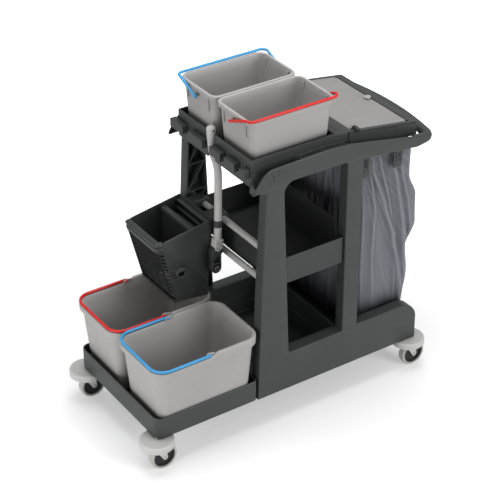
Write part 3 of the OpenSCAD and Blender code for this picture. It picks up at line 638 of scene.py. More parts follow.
def horn_line(end_x):
    curve = [(-168, 890), (-164, 899), (-158, 909), (-150, 920), (-141, 932), (-131, 943.5), (-120, 952.5),
             (-108, 958.5), (-96, 961.2)]
    xs = [-84 + 16 * i for i in range(36)]
    return [(-146, 890)] + curve + [(x, rail_top(x)) for x in xs if x < end_x] + [(end_x, rail_top(end_x))]


def floor_line(end_x):
    xs = [-116, -90, -60, -30, 0] + [2 + 2 * i for i in range(8)] + [40, 80, 120, 160, 199]
    xs += [202 + 4 * i for i in range(7)] + [250 + 20 * i for i in range(11)] + [end_x]
    return [(x, trough_floor(x) - 2 * (x < DECK_END_X)) for x in xs]


def rib_pockets():
    """Open cells of the inner side, each cut by a diagonal rib."""
    cells = []

    def cell(a, b, c, d, rib=4.0):
        """Corners: a low front, b low rear, c high rear, d high front."""
        low = [(a[0] + rib, a[1]), b, (c[0], c[1] - rib)]
        high = [(a[0], a[1] + rib), (c[0] - rib, c[1]), d]
        for tri in (low, high):
            cells.append(fillet(tri, [2, 2, 2], 2))

    rows = 6
    for i in range(rows):
        z0 = 278 + 100 * i
        z1 = z0 + 95
        cell((front_x(z0) + 5, z0), (window_x(z0) - 5, z0), (window_x(z1) - 5, z1), (front_x(z1) + 5, z1))
        cell((192, z0), (242, z0), (242, z1), (192, z1))
    return cells


def build_side(side, name):
    body = Shape()
    outer = frame_outline(horn_line(PLATE_END_X), PLATE_END_X)
    body.prism(outer, -SIDE_Y, SKIN - SIDE_Y, in_xz, r_low=3.0, r_high=0.8, holes=[window_outline()])
    inner = frame_outline(floor_line(CHANNEL_END_X), CHANNEL_END_X)
    body.prism(inner, SKIN - SIDE_Y, -INNER_Y, in_xz, r_high=1.2, holes=[window_outline()],
               pockets=rib_pockets(), depth=32)
    body.mirrored(side)
    piece(name + "_side_shell", body, "frame", "graphite_plastic", [name + "_side_frame"])


def build_scoop(side, name):
    """The wall that runs from the deck's side down into the rail's trough and flares out at the horn."""
    rings = []
    xs = [-168, -163, -158, -153.5, -150.1, -149.9, -142, -130, -110, -80, -50, -25, 0]
    xs += [2 + 2 * i for i in range(8)] + [18, 24, 40, 80, 120, 150, 162.8, 163.2, 180, 197.5]
    for x in xs:
        t = min((x + 168) / 18, 1.0)
        wall_y = mix(-226, 0.4 - INNER_Y, t)
        wall_top = mix(896, 920, t) if x < -150 else (DECK_TOP if x < STEP_X else DECK_STEP_TOP)
        floor = trough_floor(x)
        tight = smooth(x / 20)
        bend = min(mix(45, 5, tight), wall_top - floor - 0.5)
        width = min(mix(36, 5, tight), wall_y + SIDE_Y - SKIN - 0.5)
        top = [(SKIN - 1 - SIDE_Y, floor), (wall_y - width, floor)]
        for k in range(1, 9):
            a = math.radians(90 * k / 8)
            top.append((wall_y - width * (1 - math.sin(a)), floor + bend * (1 - math.cos(a))))
        top.append((wall_y, wall_top))
        under = [(wall_y + 2.6, wall_top), (wall_y + 2.6, floor + bend), (wall_y - width, floor - 3),
                 (SKIN - 1 - SIDE_Y, floor - 3)]
        rings.append([(x, y, z) for y, z in top + under])
    shape = Shape().loft(rings).mirrored(side)
    # The darker graphite here is painted shade
    piece(name + "_rail_scoop", shape, "frame", "trough_shade_graphite", sharp=50)


def build_rail_fittings(side, name):
    """Ears of the clip pivots, and black shapes as painted shade in each upright slot and accessory hole."""
    shape = Shape()
    for x in CLIP_X:
        z = rail_low(x) - CLIP_DROP
        for s in (-1, 1):
            cx = x + s * 22
            ear = fillet([(-226, z + 12), (-226, z - 8), (-201, z - 8), (-201, z + 12)], [1, 8, 8, 1], 5)
            shape.prism(ear, cx - 3, cx + 3, in_yz, r_low=0.8, r_high=0.8)
    shape.mirrored(side)
    piece(name + "_rail_fittings", shape, "frame", "graphite_plastic")
    # Black plates as painted shade inside each upright slot
    slot_shade = Shape()
    for x, z0, z1 in ((-93, 917, 950), (-76, 930, 953)):
        slot = rounded_rect(x, (z0 + z1) / 2, 4.2, z1 - z0, 1.6, 4)
        slot_shade.prism(slot, -SIDE_Y - 0.15, -SIDE_Y + 1.2, in_xz, r_low=0.1)
    slot_shade.mirrored(side)
    piece(name + "_rail_slot_shade", slot_shade, "frame", "wheel_plastic")
    # Black discs as painted shade inside each accessory hole
    holes = Shape()
    rims = Shape()
    for x in (27, 104):
        centre = (x, -223, trough_floor(x))
        holes.lathe([(0.01, -3), (0.01, 0.25), (5.2, 0.25), (5.2, -3)], centre, sides=32)
        rims.lathe([(5.2, -3), (5.2, 0.9), (6.0, 1.4), (7.6, 1.4), (8.6, 0.4), (8.6, -3)], centre, sides=32)
    holes.mirrored(side)
    rims.mirrored(side)
    piece(name + "_accessory_hole_shade", holes, "frame", "wheel_plastic")
    piece(name + "_accessory_rims", rims, "frame", "graphite_plastic")


def build_handle_root(side, name):
    """Rail end that turns from a box section into the round handle."""
    rings = []
    stations = 9
    for i in range(stations):
        t = i / (stations - 1)
        x = mix(CHANNEL_END_X - 1, HANDLE_ROOT_X, t)
        blend = smooth(t)
        top = mix(rail_top(x), HANDLE_Z + HANDLE_R, blend)
        low = mix(rail_low(x), HANDLE_Z - HANDLE_R, blend)
        y0 = mix(-SIDE_Y, HANDLE_Y - HANDLE_R, blend)
        y1 = mix(HANDLE_Y, HANDLE_Y + HANDLE_R, blend)
        power = mix(0.16, 1.0, blend)
        ring = []
        for k in range(40):
            a = 2 * math.pi * k / 40
            c, s = math.cos(a), math.sin(a)
            u = math.copysign(abs(c) ** power, c)
            v = math.copysign(abs(s) ** power, s)
            ring.append((x, (y0 + y1) / 2 + u * (y1 - y0) / 2, (top + low) / 2 + v * (top - low) / 2))
        rings.append(ring)
    shape = Shape().loft(rings).mirrored(side)
    piece(name + "_handle_root", shape, "frame", "graphite_plastic", sharp=60)


for side, name in ((LEFT, "left"), (RIGHT, "right")):
    build_side(side, name)
    build_scoop(side, name)
    build_rail_fittings(side, name)
    build_handle_root(side, name)


# ------------------------------------------------------------ base

TRAY_FRONT_X = -530.0
TRAY_REAR_X = -148.0
TRAY_CORNER = 26.0
BASE_Z = 120.0
DIVIDER_X = 182.0
PLATFORM_X = 186.0
BASE_END_X = 501.0


def stacked(outline, profile):
    """Rings of one outline, each drawn in by an amount at a height."""
    return [[(x, y, z) for x, y in inset(outline, d)] for d, z in profile]


def in_tray(x, y):
    """Moves a point inside the tray's rounded front corners."""
    x = max(x, TRAY_FRONT_X + 1.5)
    corner = Vector((TRAY_FRONT_X + TRAY_CORNER, math.copysign(SIDE_Y - TRAY_CORNER, y)))
    reach = Vector((x, y)) - corner
    most = TRAY_CORNER - 1.5
    if x < corner.x and abs(y) > abs(corner.y) and reach.length > most:
        x, y = corner + reach.normalized() * most
    return x, y


def build_base():
    """Tray under the buckets, the lower compartment and the platform under the bag."""
    shape = Shape()
    corners = rect(TRAY_FRONT_X, -SIDE_Y, TRAY_REAR_X, SIDE_Y)
    outline = fillet(corners, [TRAY_CORNER, 16, 16, TRAY_CORNER], 10)
    wall = [(8, 120), (3.4, 121.2), (1, 124), (0, 128), (0, 196), (0.5, 198.8), (1.7, 200), (3.3, 200),
            (4.5, 198.8), (5, 196), (5, 131), (6, 127.5), (9, 125.4), (14, 125)]
    shape.loft(stacked(outline, wall))
    pan = [(0, 120), (0, 199), (1, 200), (4, 200), (5, 199), (5, 130), (7, 127.5), (10, 127)]
    shape.loft(stacked(rect(TRAY_REAR_X - 2, -INNER_Y, DIVIDER_X + 1, INNER_Y), pan))
    divider = fillet(rect(DIVIDER_X, BASE_Z, DIVIDER_X + 4.5, 268), [0.5, 0.5, 2, 2], 3)
    shape.prism(divider, -INNER_Y, INNER_Y, in_xz)
    platform = rect(PLATFORM_X, 196, BASE_END_X, 200)
    end_wall = rect(BASE_END_X - 5, BASE_Z, BASE_END_X, 197)
    for plate in (platform, end_wall):
        shape.prism(plate, -INNER_Y, INNER_Y, in_xz, r_low=0.8, r_high=0.8)
    inner_wall = rect(-141, 199, PLATFORM_X, 261)
    skirt = rect(PLATFORM_X, BASE_Z, BASE_END_X, 197)
    for s in (-1, 1):
        y0, y1 = sorted((s * INNER_Y, s * (INNER_Y - 5)))
        for plate in (inner_wall, skirt):
            shape.prism(plate, y0, y1, in_xz, r_low=0.8, r_high=0.8)
        boss = [in_tray(x, y) for x, y in disc(-522, s * 228, 15, 30)]
        shape.loft([[(x, y, z) for x, y in boss] for z in (121.5, 160)])
    piece("base_moulding", shape, "frame", "graphite_plastic", ["base_pan"])


build_base()


# ------------------------------------------------------------ buckets and caddies

def tub_shape(cx, cy, l, w, r, z0, z1, lip, taper, skirt, raise_rim):
    """A moulded tub with a rolled rim and a skirt; raise_rim(x) lifts the rim."""
    wall = 3.0
    foot = lip + taper / 2

    def out_at(z):
        return mix(foot, lip, (z - z0) / (z1 - z0))

    hem = z1 - skirt
    inner = foot + wall
    outside = [
        (foot + 16, z0), (foot + 6, z0 + 0.8), (foot + 1.8, z0 + 3.4), (out_at(z0 + 9), z0 + 9),
        (out_at(z0 + 60), z0 + 60), (out_at(hem - 40), hem - 40), (out_at(hem - 4), hem - 4),
    ]
    rim = [
        (lip + 0.2, z1 - 7), (lip - 1.5, z1 - 5), (3.6, z1 - 5), (2.6, z1 - 7), (2.6, hem + 0.8),
        (1.9, hem), (1.0, hem + 0.3), (0.5, hem + 1.4), (0.2, z1 - 6), (0.0, z1 - 4.2), (0.4, z1 - 2.2),
        (1.4, z1 - 0.8), (3.2, z1), (lip + wall - 3.2, z1), (lip + wall - 1.2, z1 - 0.7),
        (lip + wall, z1 - 3),
    ]
    inside = [
        (out_at(z1 - 30) + wall, z1 - 30), (out_at(z0 + 60) + wall, z0 + 60),
        (out_at(z0 + 22) + wall, z0 + 22), (inner + 1.4, z0 + 12), (inner + 5, z0 + 6),
        (inner + 12, z0 + wall + 0.6), (inner + 20, z0 + wall),
    ]
    rings = []
    for out, z in outside + rim + inside:
        radius = max(r - out, 7.0)
        outline = rounded_rect(cx, cy, l - 2 * out, w - 2 * out, radius, 10, 26, 16)
        share = smooth((z - (hem - 4)) / skirt)
        rings.append([(x, y, z + share * raise_rim(x)) for x, y in outline])
    return Shape().loft(rings)


def bucket_parts(name, colour):
    low, high = node_box(name + "_bucket")
    bail_low, bail_high = node_box(name + "_bucket_bail")
    cx, cy = (low.x + high.x) / 2, (low.y + high.y) / 2
    l, w = high.x - low.x, high.y - low.y
    z0 = low.z
    top = 378.0
    pivot_z = (bail_low.z + bail_high.z) / 2
    lip, taper, corner, skirt = 9.0, 46.0, 52.0, 22.0
    rear_rise = 8.6

    def raise_rim(x):
        return rear_rise * smooth((x - cx - 16) / 14)

    shape = tub_shape(cx, cy, l, w, corner, z0, top, lip, taper, skirt, raise_rim)
    fin = [(-15, -3), (-11.5, 2.5), (-8.5, 7.5), (-3.5, 11), (3, 12.2), (9, 10.8), (14, 9.2), (22, 8.6),
           (22, -3)]
    for s in (-1, 1):
        y = cy + s * (w / 2 - 10.9)
        outline = [(cx + a, top + b) for a, b in fin]
        shape.prism(outline, y - 1.7, y + 1.7, in_xz, r_low=0.7, r_high=0.7)
    piece(name + "_bucket_tub", shape, name + "_bucket", "bucket_plastic", [name + "_bucket"])

    bail_r = 4.6
    half = w / 2 - bail_r
    r = corner - bail_r
    turn_x = cx - l / 2 + corner
    stations = [cx + 2, cx - 60, turn_x + 30]
    plan = [(x, cy - half) for x in stations]
    plan += arc(turn_x, cy - half + r, r, 270, 180, 12) + arc(turn_x, cy + half - r, r, 180, 90, 12)
    plan += [(x, cy + half) for x in stations[::-1]]
    bail = Shape().tube([(x, y, pivot_z) for x, y in plan], bail_r)
    for s in (-1, 1):
        y = cy + s * half
        bail.tube([(cx, y, pivot_z), (cx, y - s * 12, pivot_z)], 3.4, sides=16)
    look = colour + "_plastic"
    piece(name + "_bucket_handle", bail, name + "_bucket_bail", look, [name + "_bucket_bail"])


def caddy_parts(side, name, colour):
    low, high = node_box(name + "_caddy")
    cx, cy = (low.x + high.x) / 2, (low.y + high.y) / 2
    l, w = high.x - low.x, high.y - low.y
    z0, top = low.z, high.z
    lip, taper, corner, skirt = 8.0, 26.0, 34.0, 15.0
    pivot_z = top - 29.0

    shape = tub_shape(cx, cy, l, w, corner, z0, top, lip, taper, skirt, lambda x: 0.0)
    for s in (-1, 1):
        face = cx + s * (l / 2 - lip - 1.2)
        boss = [(0.01, 0), (6.4, 0), (6.4, 9.4), (5.6, 10.2), (0.01, 10.2)]
        shape.lathe(boss, (face - s * 2.5, cy, pivot_z), axis=(s, 0, 0), sides=28)
        for y0 in (cy + w / 2 - 44, cy + 39 - w / 2):
            tab = fillet(rect(y0, top - 62, y0 + 5, top - 8), [2, 2, 0, 0], 4)
            lo, hi = sorted((face - s * 6, face + s * 2.2))
            shape.prism(tab, lo, hi, in_yz, r_low=0.6, r_high=0.6)
    piece(name + "_caddy_tub", shape, name + "_caddy", "bucket_plastic", [name + "_caddy"])

    half = l / 2 + 5
    bend = 20.0
    bar_out = w / 2 - 1
    rise = [(-8.0, -3.4), (0.0, 0.0), (37.5, 15.6), (62.0, 26.0), (73.0, 30.6), (79.0, 32.8),
            (bar_out - bend, 34.0)]
    arm = [(cx - half, cy + side * d, pivot_z + h) for d, h in rise]
    for k in range(1, 11):
        a = math.radians(90 * k / 10)
        y = cy + side * (bar_out - bend + bend * math.sin(a))
        arm.append((cx - half + bend * (1 - math.cos(a)), y, pivot_z + 34.2))
    other = [(2 * cx - x, y, z) for x, y, z in arm[::-1]]
    bail = Shape().tube(arm + other, 4.6)
    for s in (-1, 1):
        x = cx + s * half
        bail.tube([(x, cy, pivot_z), (x - s * 12, cy, pivot_z)], 3.4, sides=16)
    look = colour + "_plastic"
    piece(name + "_caddy_handle", bail, name + "_caddy_bail", look, [name + "_caddy_bail"])


bucket_parts("left", "blue")
bucket_parts("right", "red")
caddy_parts(LEFT, "left", "red")
caddy_parts(RIGHT, "right", "blue")


# ------------------------------------------------------------ wringer

def beside(point, dx=0.0, dz=0.0):
    return (point.x + dx, point.y + dz)


MOUTH_FRONT = Vector((-349, 634))
MOUTH_REAR = Vector((-138, 668))
FOOT_REAR = Vector((-160, 385))
FOOT_FRONT = Vector((-290, 400))
WRINGER_Y = (30.0, 228.0)
WRINGER_CORNER = 16.0
PIN_X, PIN_Z = -142, 495


def wringer_body():
    y0, y1 = WRINGER_Y
    shape = Shape()
    front = MOUTH_FRONT + Vector((WRINGER_CORNER, 3))
    near = [beside(front), beside(MOUTH_REAR), beside(FOOT_REAR), beside(FOOT_FRONT, 11)]
    near = fillet(near, [16, 6, 12, 6], 8)
    shape.prism(near, y0 + 1.6, y0 + 4.6, in_xz, r_low=1.2, r_high=0.6)
    # Raised panel above the step line of the near plate
    step = [(-321, 610), (-276, 424), (-205, 421), (-192, 423), (-186, 430), (-180, 437), (-161, 438)]
    panel = [beside(front, 3, -2)] + step + [beside(MOUTH_REAR, -2, -3)]
    shape.prism(fillet(panel, [14, 0, 4, 0, 0, 0, 0, 2, 5], 6), y0, y0 + 2.4, in_xz, r_low=1.0)
    far = fillet([beside(p) for p in (MOUTH_FRONT, MOUTH_REAR, FOOT_REAR, FOOT_FRONT)], [24, 6, 12, 6], 8)
    shape.prism(far, y1 - 4, y1, in_xz, r_low=0.6, r_high=1.4)
    rear = [beside(MOUTH_REAR), beside(FOOT_REAR), beside(FOOT_REAR, -5), beside(MOUTH_REAR, -5)]
    shape.prism(rear, y0 + 3, y1 - 3, in_xz)
    shape.prism(disc(-214, 420, 9, 28), y0 - 0.8, y0 + 2.5, in_xz, r_low=1.2)
    return shape


def front_path():
    """Plan path of a front bar: straight along Y, then round the near corner."""
    y0, y1 = WRINGER_Y
    turn_y = y0 + WRINGER_CORNER
    points = [(0, y1 - 3), (0, turn_y + 60), (0, turn_y + 4)]
    points += arc(WRINGER_CORNER, turn_y + 1.5, WRINGER_CORNER, 180, 268, 9)
    return points + [(WRINGER_CORNER + 9, y0 + 1.5)]


def front_bar(shape, section, along):
    """Sweeps a section, given as (outwards, up) points, round the wringer's front."""
    path = front_path()
    rings = []
    for i, (px, py) in enumerate(path):
        a = Vector(path[max(i - 1, 0)])
        b = Vector(path[min(i + 1, len(path) - 1)])
        t = (b - a).normalized()
        outward = Vector((t.y, -t.x))
        if outward.x > 0.3:
            outward = -outward
        rings.append([(along.x + px + outward.x * n, py + outward.y * n, along.y + s) for n, s in section])
    shape.loft(rings)


def wringer_front():
    shape = Shape()
    slats = 13
    top = MOUTH_FRONT + Vector((9, -34))
    low = FOOT_FRONT + Vector((2, 10))
    pitch = (top - low).y / slats
    blade = [(0.0, pitch * 0.30), (-0.9, pitch * 0.42), (-2.2, pitch * 0.42), (-10.5, -pitch * 0.34),
             (-10.0, -pitch * 0.46), (-8.6, -pitch * 0.48)]
    for i in range(slats):
        front_bar(shape, blade, top.lerp(low, (i + 0.5) / slats))
    # Upright webs behind the slats
    for y in (70, 129, 182):
        web = [beside(top, 5, 4), beside(top, 12, 4), beside(low, 12, -2), beside(low, 5, -2)]
        shape.prism(web, y - 1.5, y + 1.5, in_xz)
    return shape


def wringer_lip():
    """Rounded lip along the mouth's front, and the smooth band under it."""
    shape = Shape()
    lip = [(-18, 1.5), (-17, 3), (-6, 2.4), (-2.5, 1.2), (-0.6, -1.5), (0, -5), (-0.6, -9), (-3, -12),
           (-6, -13), (-8, -12.5), (-6.5, -8), (-6, -4), (-9, -1), (-17.4, -0.4)]
    front_bar(shape, lip, MOUTH_FRONT)
    band = [(-4, -12), (-1.4, -14), (0.4, -18), (-1.2, -27), (-3.2, -34), (-5.5, -35), (-5, -28),
            (-3.4, -20), (-6, -14)]
    front_bar(shape, band, MOUTH_FRONT + Vector((2.5, 0)))
    foot = [(0.5, 6), (0, -4), (-3, -7), (-50, 0), (-50, 3), (-6, 2)]
    front_bar(shape, foot, FOOT_FRONT + Vector((1, 2)))
    return shape


def hub_shape():
    """Hub on the near plate with a D-shaped socket."""
    shape = Shape()
    cx, cz = -272.0, 522.0
    y_face = 5.0
    socket = arc(cx, cz, 12.5, 158, 382, 20)
    shape.prism(disc(cx, cz, 18.5, 40), y_face, 31.5, in_xz, r_low=2.2, holes=[socket])
    shape.cap([socket], lambda a, b: (a, 26.0, b))
    shape.prism(disc(cx, cz, 24, 40), 26.5, 31, in_xz, r_low=2.0)
    return shape


def hook_shape():
    """Rounded lobes that hang the wringer on the upper cross tube, and its lower rest."""
    shape = Shape()
    tube_x, tube_z, tube_bore = -86.0, 643.0, 10.7
    for y0, y1 in ((45, 93), (158, 200)):
        lobe = [(-143, 622), (-112, 622), (-tube_bore + tube_x, 634)]
        lobe += arc(tube_x, tube_z, tube_bore, 180, -8, 16)
        lobe += arc(tube_x, tube_z, 23.0, -12, 100, 12) + [(-114, 664), (-143, 662)]
        shape.prism(lobe, y0, y1, in_xz, r_low=2.0, r_high=2.0)
    rest = fillet([(-156, 510), (-97, 516), (-97, 538), (-156, 544)], [0, 4, 4, 0], 4)
    shape.prism(rest, 100, 140, in_xz, r_low=1, r_high=1)
    boss = [(-164, 478), (PIN_X, 478)] + arc(PIN_X, PIN_Z, 17, -90, 90, 10) + [(-164, 512)]
    shape.prism(boss, WRINGER_Y[0] + 1, WRINGER_Y[0] + 12, in_xz, r_low=1.2, r_high=1.0,
                holes=[disc(PIN_X, PIN_Z, 6.1, 20)])
    return shape


def press_details():
    """Embossed dots and back ribs of the press plate."""
    shape = Shape()
    y0, y1 = WRINGER_Y[0] + 8, WRINGER_Y[1] - 8
    face_low = Vector((-223, 430))
    face_top = Vector((-217, 640))
    for row in range(9):
        for col in range(9):
            t = 0.2 + 0.72 * row / 8
            p = face_low.lerp(face_top, t)
            y = mix(y0 + 14, y1 - 14, (col + 0.5 * (row % 2)) / 9)
            dot = [(3.2, -1.0), (3.0, 0.4), (1.8, 1.2), (0.0, 1.4), (0.0, -1.0)]
            shape.lathe(dot, (p.x + 0.3, y, p.y), axis=(-1, 0, 0.02), sides=12)
    for k in range(4):
        z = 470 + 42 * k
        rib = fillet([(-215, z), (-203, z + 2), (-203, z + 5), (-215, z + 7)], [0, 1.2, 1.2, 0], 3)
        shape.prism(rib, y0 + 6, y1 - 6, in_xz, r_low=0.6, r_high=0.6)
    return shape


def rear_ribs():
    """Horizontal ribs on the wringer's rear wall, seen through the mouth."""
    shape = Shape()
    y0, y1 = WRINGER_Y
    for k in range(5):
        z = 652 - 26 * k
        x = mix(FOOT_REAR.x, MOUTH_REAR.x, (z - 385) / 283) - 4
        rib = fillet([(x - 13, z), (x, z + 3), (x, z - 6), (x - 13, z - 5)], [2, 0, 0, 2], 4)
        shape.prism(rib, y0 + 4, y1 - 4, in_xz)
    return shape


LEVER_Y = 14.0
LEVER_LINE = [(-131.0, 566), (-131.2, 590), (-130.2, 622), (-129.0, 652), (-127.2, 745), (-126.2, 800),
              (-126.0, 824), (-126.4, 840), (-128.2, 857), (-131.8, 877), (-138.6, 896), (-143.8, 912),
              (-146.2, 926), (-147.0, 940), (-147.4, 950)]


def facing_left(a, b, d):
    """A plate drawn in XZ whose high side looks towards -Y."""
    return (a, -d, b)


def knuckle_shape():
    """Hollow bracket with cross ribs that carries the lever on the wringer's pivot pin."""
    shape = Shape()
    bracket = arc(PIN_X, PIN_Z, 18, 180, 360, 16) + [(-124, 548), (-160, 548)]
    low_pocket = arc(PIN_X, PIN_Z, 12, 190, 350, 10) + [(-130.5, 512), (-153.5, 512)]
    high_pocket = fillet(rect(-153.5, 517, -130.5, 541), [2, 2, 3, 3], 4)
    shape.prism(bracket, -26, -1.5, facing_left, r_low=1.5, r_high=2.2, pockets=[low_pocket, high_pocket],
                depth=9)
    head = fillet([(-162, 545), (-121, 545), (-114, 574), (-146, 580), (-158, 566)], [4, 5, 6, 4, 6], 5)
    shape.prism(head, -27.5, -0.5, facing_left, r_low=2, r_high=2.5)
    shape.prism(disc(PIN_X, PIN_Z, 7.5, 24), -3, 1.6, facing_left, r_high=1.0)
    return shape


def clamp_shape():
    """Light fork with a toothed edge round the foot of the tube."""
    shape = Shape()
    fork = fillet([(-152, 566), (-134, 556), (-118, 568), (-116, 600), (-146, 600), (-148, 584)],
                  [4, 3, 5, 5, 5, 6], 5)
    shape.prism(fork, -28, 0, facing_left, r_low=2.5, r_high=3.0)
    for k in range(5):
        x = -150 + 7.4 * k
        z = 562 - 5.2 * k if k < 3 else 548 + 6 * (k - 2)
        tooth = [(x - 2.6, z - 1), (x + 2.6, z - 1), (x + 2, z + 8), (x - 2, z + 8)]
        shape.prism(fillet(tooth, [1.5, 1.5, 0, 0], 4), -26.5, -1.0, facing_left, r_low=0.6, r_high=0.8)
    return shape


def build_lever():
    path = [(x, LEVER_Y, z) for x, z in LEVER_LINE]
    tube = Shape().tube(path, 12.5, sides=28, up=(0, 1, 0))
    piece("lever_swept_tube", tube, "lever", "lever_coating", ["lever_tube"])
    piece("lever_clamp", clamp_shape(), "lever", "lever_coating")
    # Black discs as painted shade inside the clamp and grip holes
    holes = Shape()
    for x, z in ((-141, 572), (-127, 577), (-134, 566), (-137, 590), (-122, 590)):
        holes.prism(disc(x, z, 2.1, 14), -2, 0.25, facing_left)
    line = [(-147.2, 940), (-147.8, 955), (-149.0, 975), (-150.0, 1004)]
    path = [(x, LEVER_Y, z) for x, z in line]
    grip = Shape().tube(path, [13.4, 13.8, 14.6, 15.0], sides=28, up=(0, 1, 0))
    piece("lever_hand_grip", grip, "lever", "light_plastic", ["lever_grip"])
    holes.prism(disc(-150, 1000, 3.4, 18), -2, 1.2, facing_left)
    piece("lever_hole_shade", holes, "lever", "wheel_plastic")
    piece("lever_bracket", knuckle_shape(), "lever", "dark_plastic", ["lever_knuckle"])


def build_wringer():
    piece("wringer_shell", wringer_body(), "wringer", "dark_plastic", ["wringer_body"])
    piece("wringer_slats", wringer_front(), "wringer", "dark_plastic", ["wringer_grille"], sharp=25)
    piece("wringer_lip", wringer_lip(), "wringer", "dark_plastic")
    piece("wringer_hub", hub_shape(), "wringer", "dark_plastic")
    piece("wringer_hooks", hook_shape(), "wringer", "dark_plastic")
    piece("wringer_rear_ribs", rear_ribs(), "wringer", "dark_plastic")
    piece("press_details", press_details(), "press", "dark_plastic")


build_wringer()
build_lever()


# ------------------------------------------------------------ lid and flap

def lid_top(x):
    return 986 - 0.151 * (x - STEP_X)


LID_X0, LID_X1, LID_Y, LID_INNER_Y = 213.0, 493.0, 204.5, 192.0
LID_WALL = 4.0
HINGE_X = 250.0


def on_lid(x, y, d):
    """Point d above the lid's sloping top."""
    return (x, y, lid_top(x) + d)


def lid_low(x):
    """Lower edge of the lid frame's side wall."""
    line = [(213, 938), (273, 924), (413, 898), (493, 885)]
    for (x0, z0), (x1, z1) in zip(line, line[1:]):
        if x <= x1:
            return mix(z0, z1, (x - x0) / (x1 - x0))
    return line[-1][1]


def build_lid_frame():
    """U-shaped lid frame with rounded upright corners; the flap lies inside it."""
    front_r, rear_r = 12.0, 8.0
    ear_y = 199.4
    near = [(262, -LID_INNER_Y), (262, -ear_y), (LID_X0 + 2.2, -ear_y)]
    near += arc(LID_X0 + front_r, -LID_Y + front_r, front_r, 216, 270, 6)
    near += [(x, -LID_Y) for x in range(240, 480, 20)]
    near += arc(LID_X1 - rear_r, -LID_Y + rear_r, rear_r, 270, 360, 8)
    far = [(x, -y) for x, y in near[::-1]]
    inner = [(463, LID_INNER_Y), (463, -LID_INNER_Y)]
    shape = Shape().prism(near + far + inner, -LID_WALL, 0.0, on_lid, r_high=1.6, r_low=0.2)
    path = near[2:] + far[:-2]
    full = [Vector(p) for p in path]
    rings = []
    for i, p in enumerate(full):
        t = (full[min(i + 1, len(full) - 1)] - full[max(i - 1, 0)]).normalized()
        n = Vector((-t.y, t.x)) * 3.0
        low = lid_low(p.x)
        high = lid_top(p.x) - 1.2
        rings.append([(p.x, p.y, high), (p.x, p.y, low + 1.0), (p.x + n.x * 0.3, p.y + n.y * 0.3, low),
                      (p.x + n.x, p.y + n.y, low), (p.x + n.x, p.y + n.y, high)])
    shape.loft(rings)
    for side in (LEFT, RIGHT):
        corner = []
        cx, cy = LID_X0 + front_r, -LID_Y + front_r
        for x, y in arc(cx, cy, front_r, 180, 218, 5):
            inner_x, inner_y = mix(x, cx, 0.25), -side * mix(y, cy, 0.25)
            low = lid_low(x) + 0.5
            corner.append([(x, -side * y, low), (x, -side * y, 966), (inner_x, inner_y, 966),
                           (inner_x, inner_y, low)])
        shape.loft(corner)
        ledge = rect(290, 12.5 - LID_Y, 463, 22 - LID_Y)
        shape.prism([(x, -side * y) for x, y in ledge], -14, -10.6, on_lid)
    piece("lid_frame_shell", shape, "bag_lid", "graphite_plastic", ["bag_lid_frame"])


def build_lid_details():
    """Black strips on the lid's sides, the recess line as painted shade and a dark seam, and both halves of
    its hinge.
    """
    recess_shade_and_seam = Shape()
    for side in (LEFT, RIGHT):
        lo, hi = sorted((side * (LID_Y + 0.2), side * (LID_Y - 1.0)))
        # The sloping strip is painted shade in the recess line; the upright strip is a dark seam
        recess = [(323, 957), (323, 954.4), (327, 951.8), (406, 939.6), (406, 942.2), (328, 954.2),
                  (325.4, 956.6)]
        recess_shade_and_seam.prism(recess, lo, hi, in_xz)
        recess_shade_and_seam.prism([(406.4, 899.8), (407.6, 899.6), (407.6, 945), (406.4, 945.2)], lo, hi, in_xz)
    piece("lid_side_recess_shade_and_seam", recess_shade_and_seam, "bag_lid", "wheel_plastic")
    barrels = Shape()
    for side in (LEFT, RIGHT):
        barrels.tube([(HINGE_X, side * 186.5, 976), (HINGE_X, side * 203.8, 976)], 8.6, sides=28)
    piece("lid_hinge_barrels", barrels, "frame", "wheel_plastic")
    caps = Shape()
    for side in (LEFT, RIGHT):
        tab = fillet([(236, 972), (264, 968.5), (262, 974.5), (256, 978.5), (243, 979.5), (237, 976.5)],
                     [1, 1, 2, 3, 3, 2], 4)
        lo, hi = sorted((side * 175.5, side * 183.5))
        caps.prism(tab, lo, hi, in_xz, r_low=1.2, r_high=1.2)
    piece("flap_hinge_tabs", caps, "lid_flap", "flap_plastic")


build_lid_frame()
build_lid_details()


def clip_shape(x):
    """Flat clip with a window and a strap in it, hung under the rail."""
    shape = Shape()
    z = rail_low(x) - CLIP_DROP
    low, half = 800.0, 17.5
    outline = fillet(rect(x - half, low, x + half, z + 4), [3, 3, 3, 3], 4)
    window = fillet(rect(x - 11.5, low + 24, x + 11.5, z - 8), [2.5, 2.5, 2, 2], 4)
    shape.prism(outline, -214.6, -211.6, in_xz, r_low=0.9, r_high=0.9, holes=[window])
    strap = fillet(rect(x - 8.5, low + 31, x + 8.5, z - 2), [4, 4, 1, 1], 5)
    gap = fillet(rect(x - 5.2, low + 35, x + 5.2, z - 12), [2, 2, 1, 1], 4)
    shape.prism(strap, -215.4, -212.6, in_xz, r_low=0.8, r_high=0.4, holes=[gap])
    return shape.tube([(x - 24, -213, z), (x + 24, -213, z)], 4.0, sides=18)


for side, name in ((LEFT, "left"), (RIGHT, "right")):
    for x, end in zip(CLIP_X, ("front", "rear")):
        piece(f"{name}_{end}_clip_plate", clip_shape(x).mirrored(side), f"clip_{end}_{name}",
              "graphite_plastic", [f"bag_clip_{end}_{name}"])


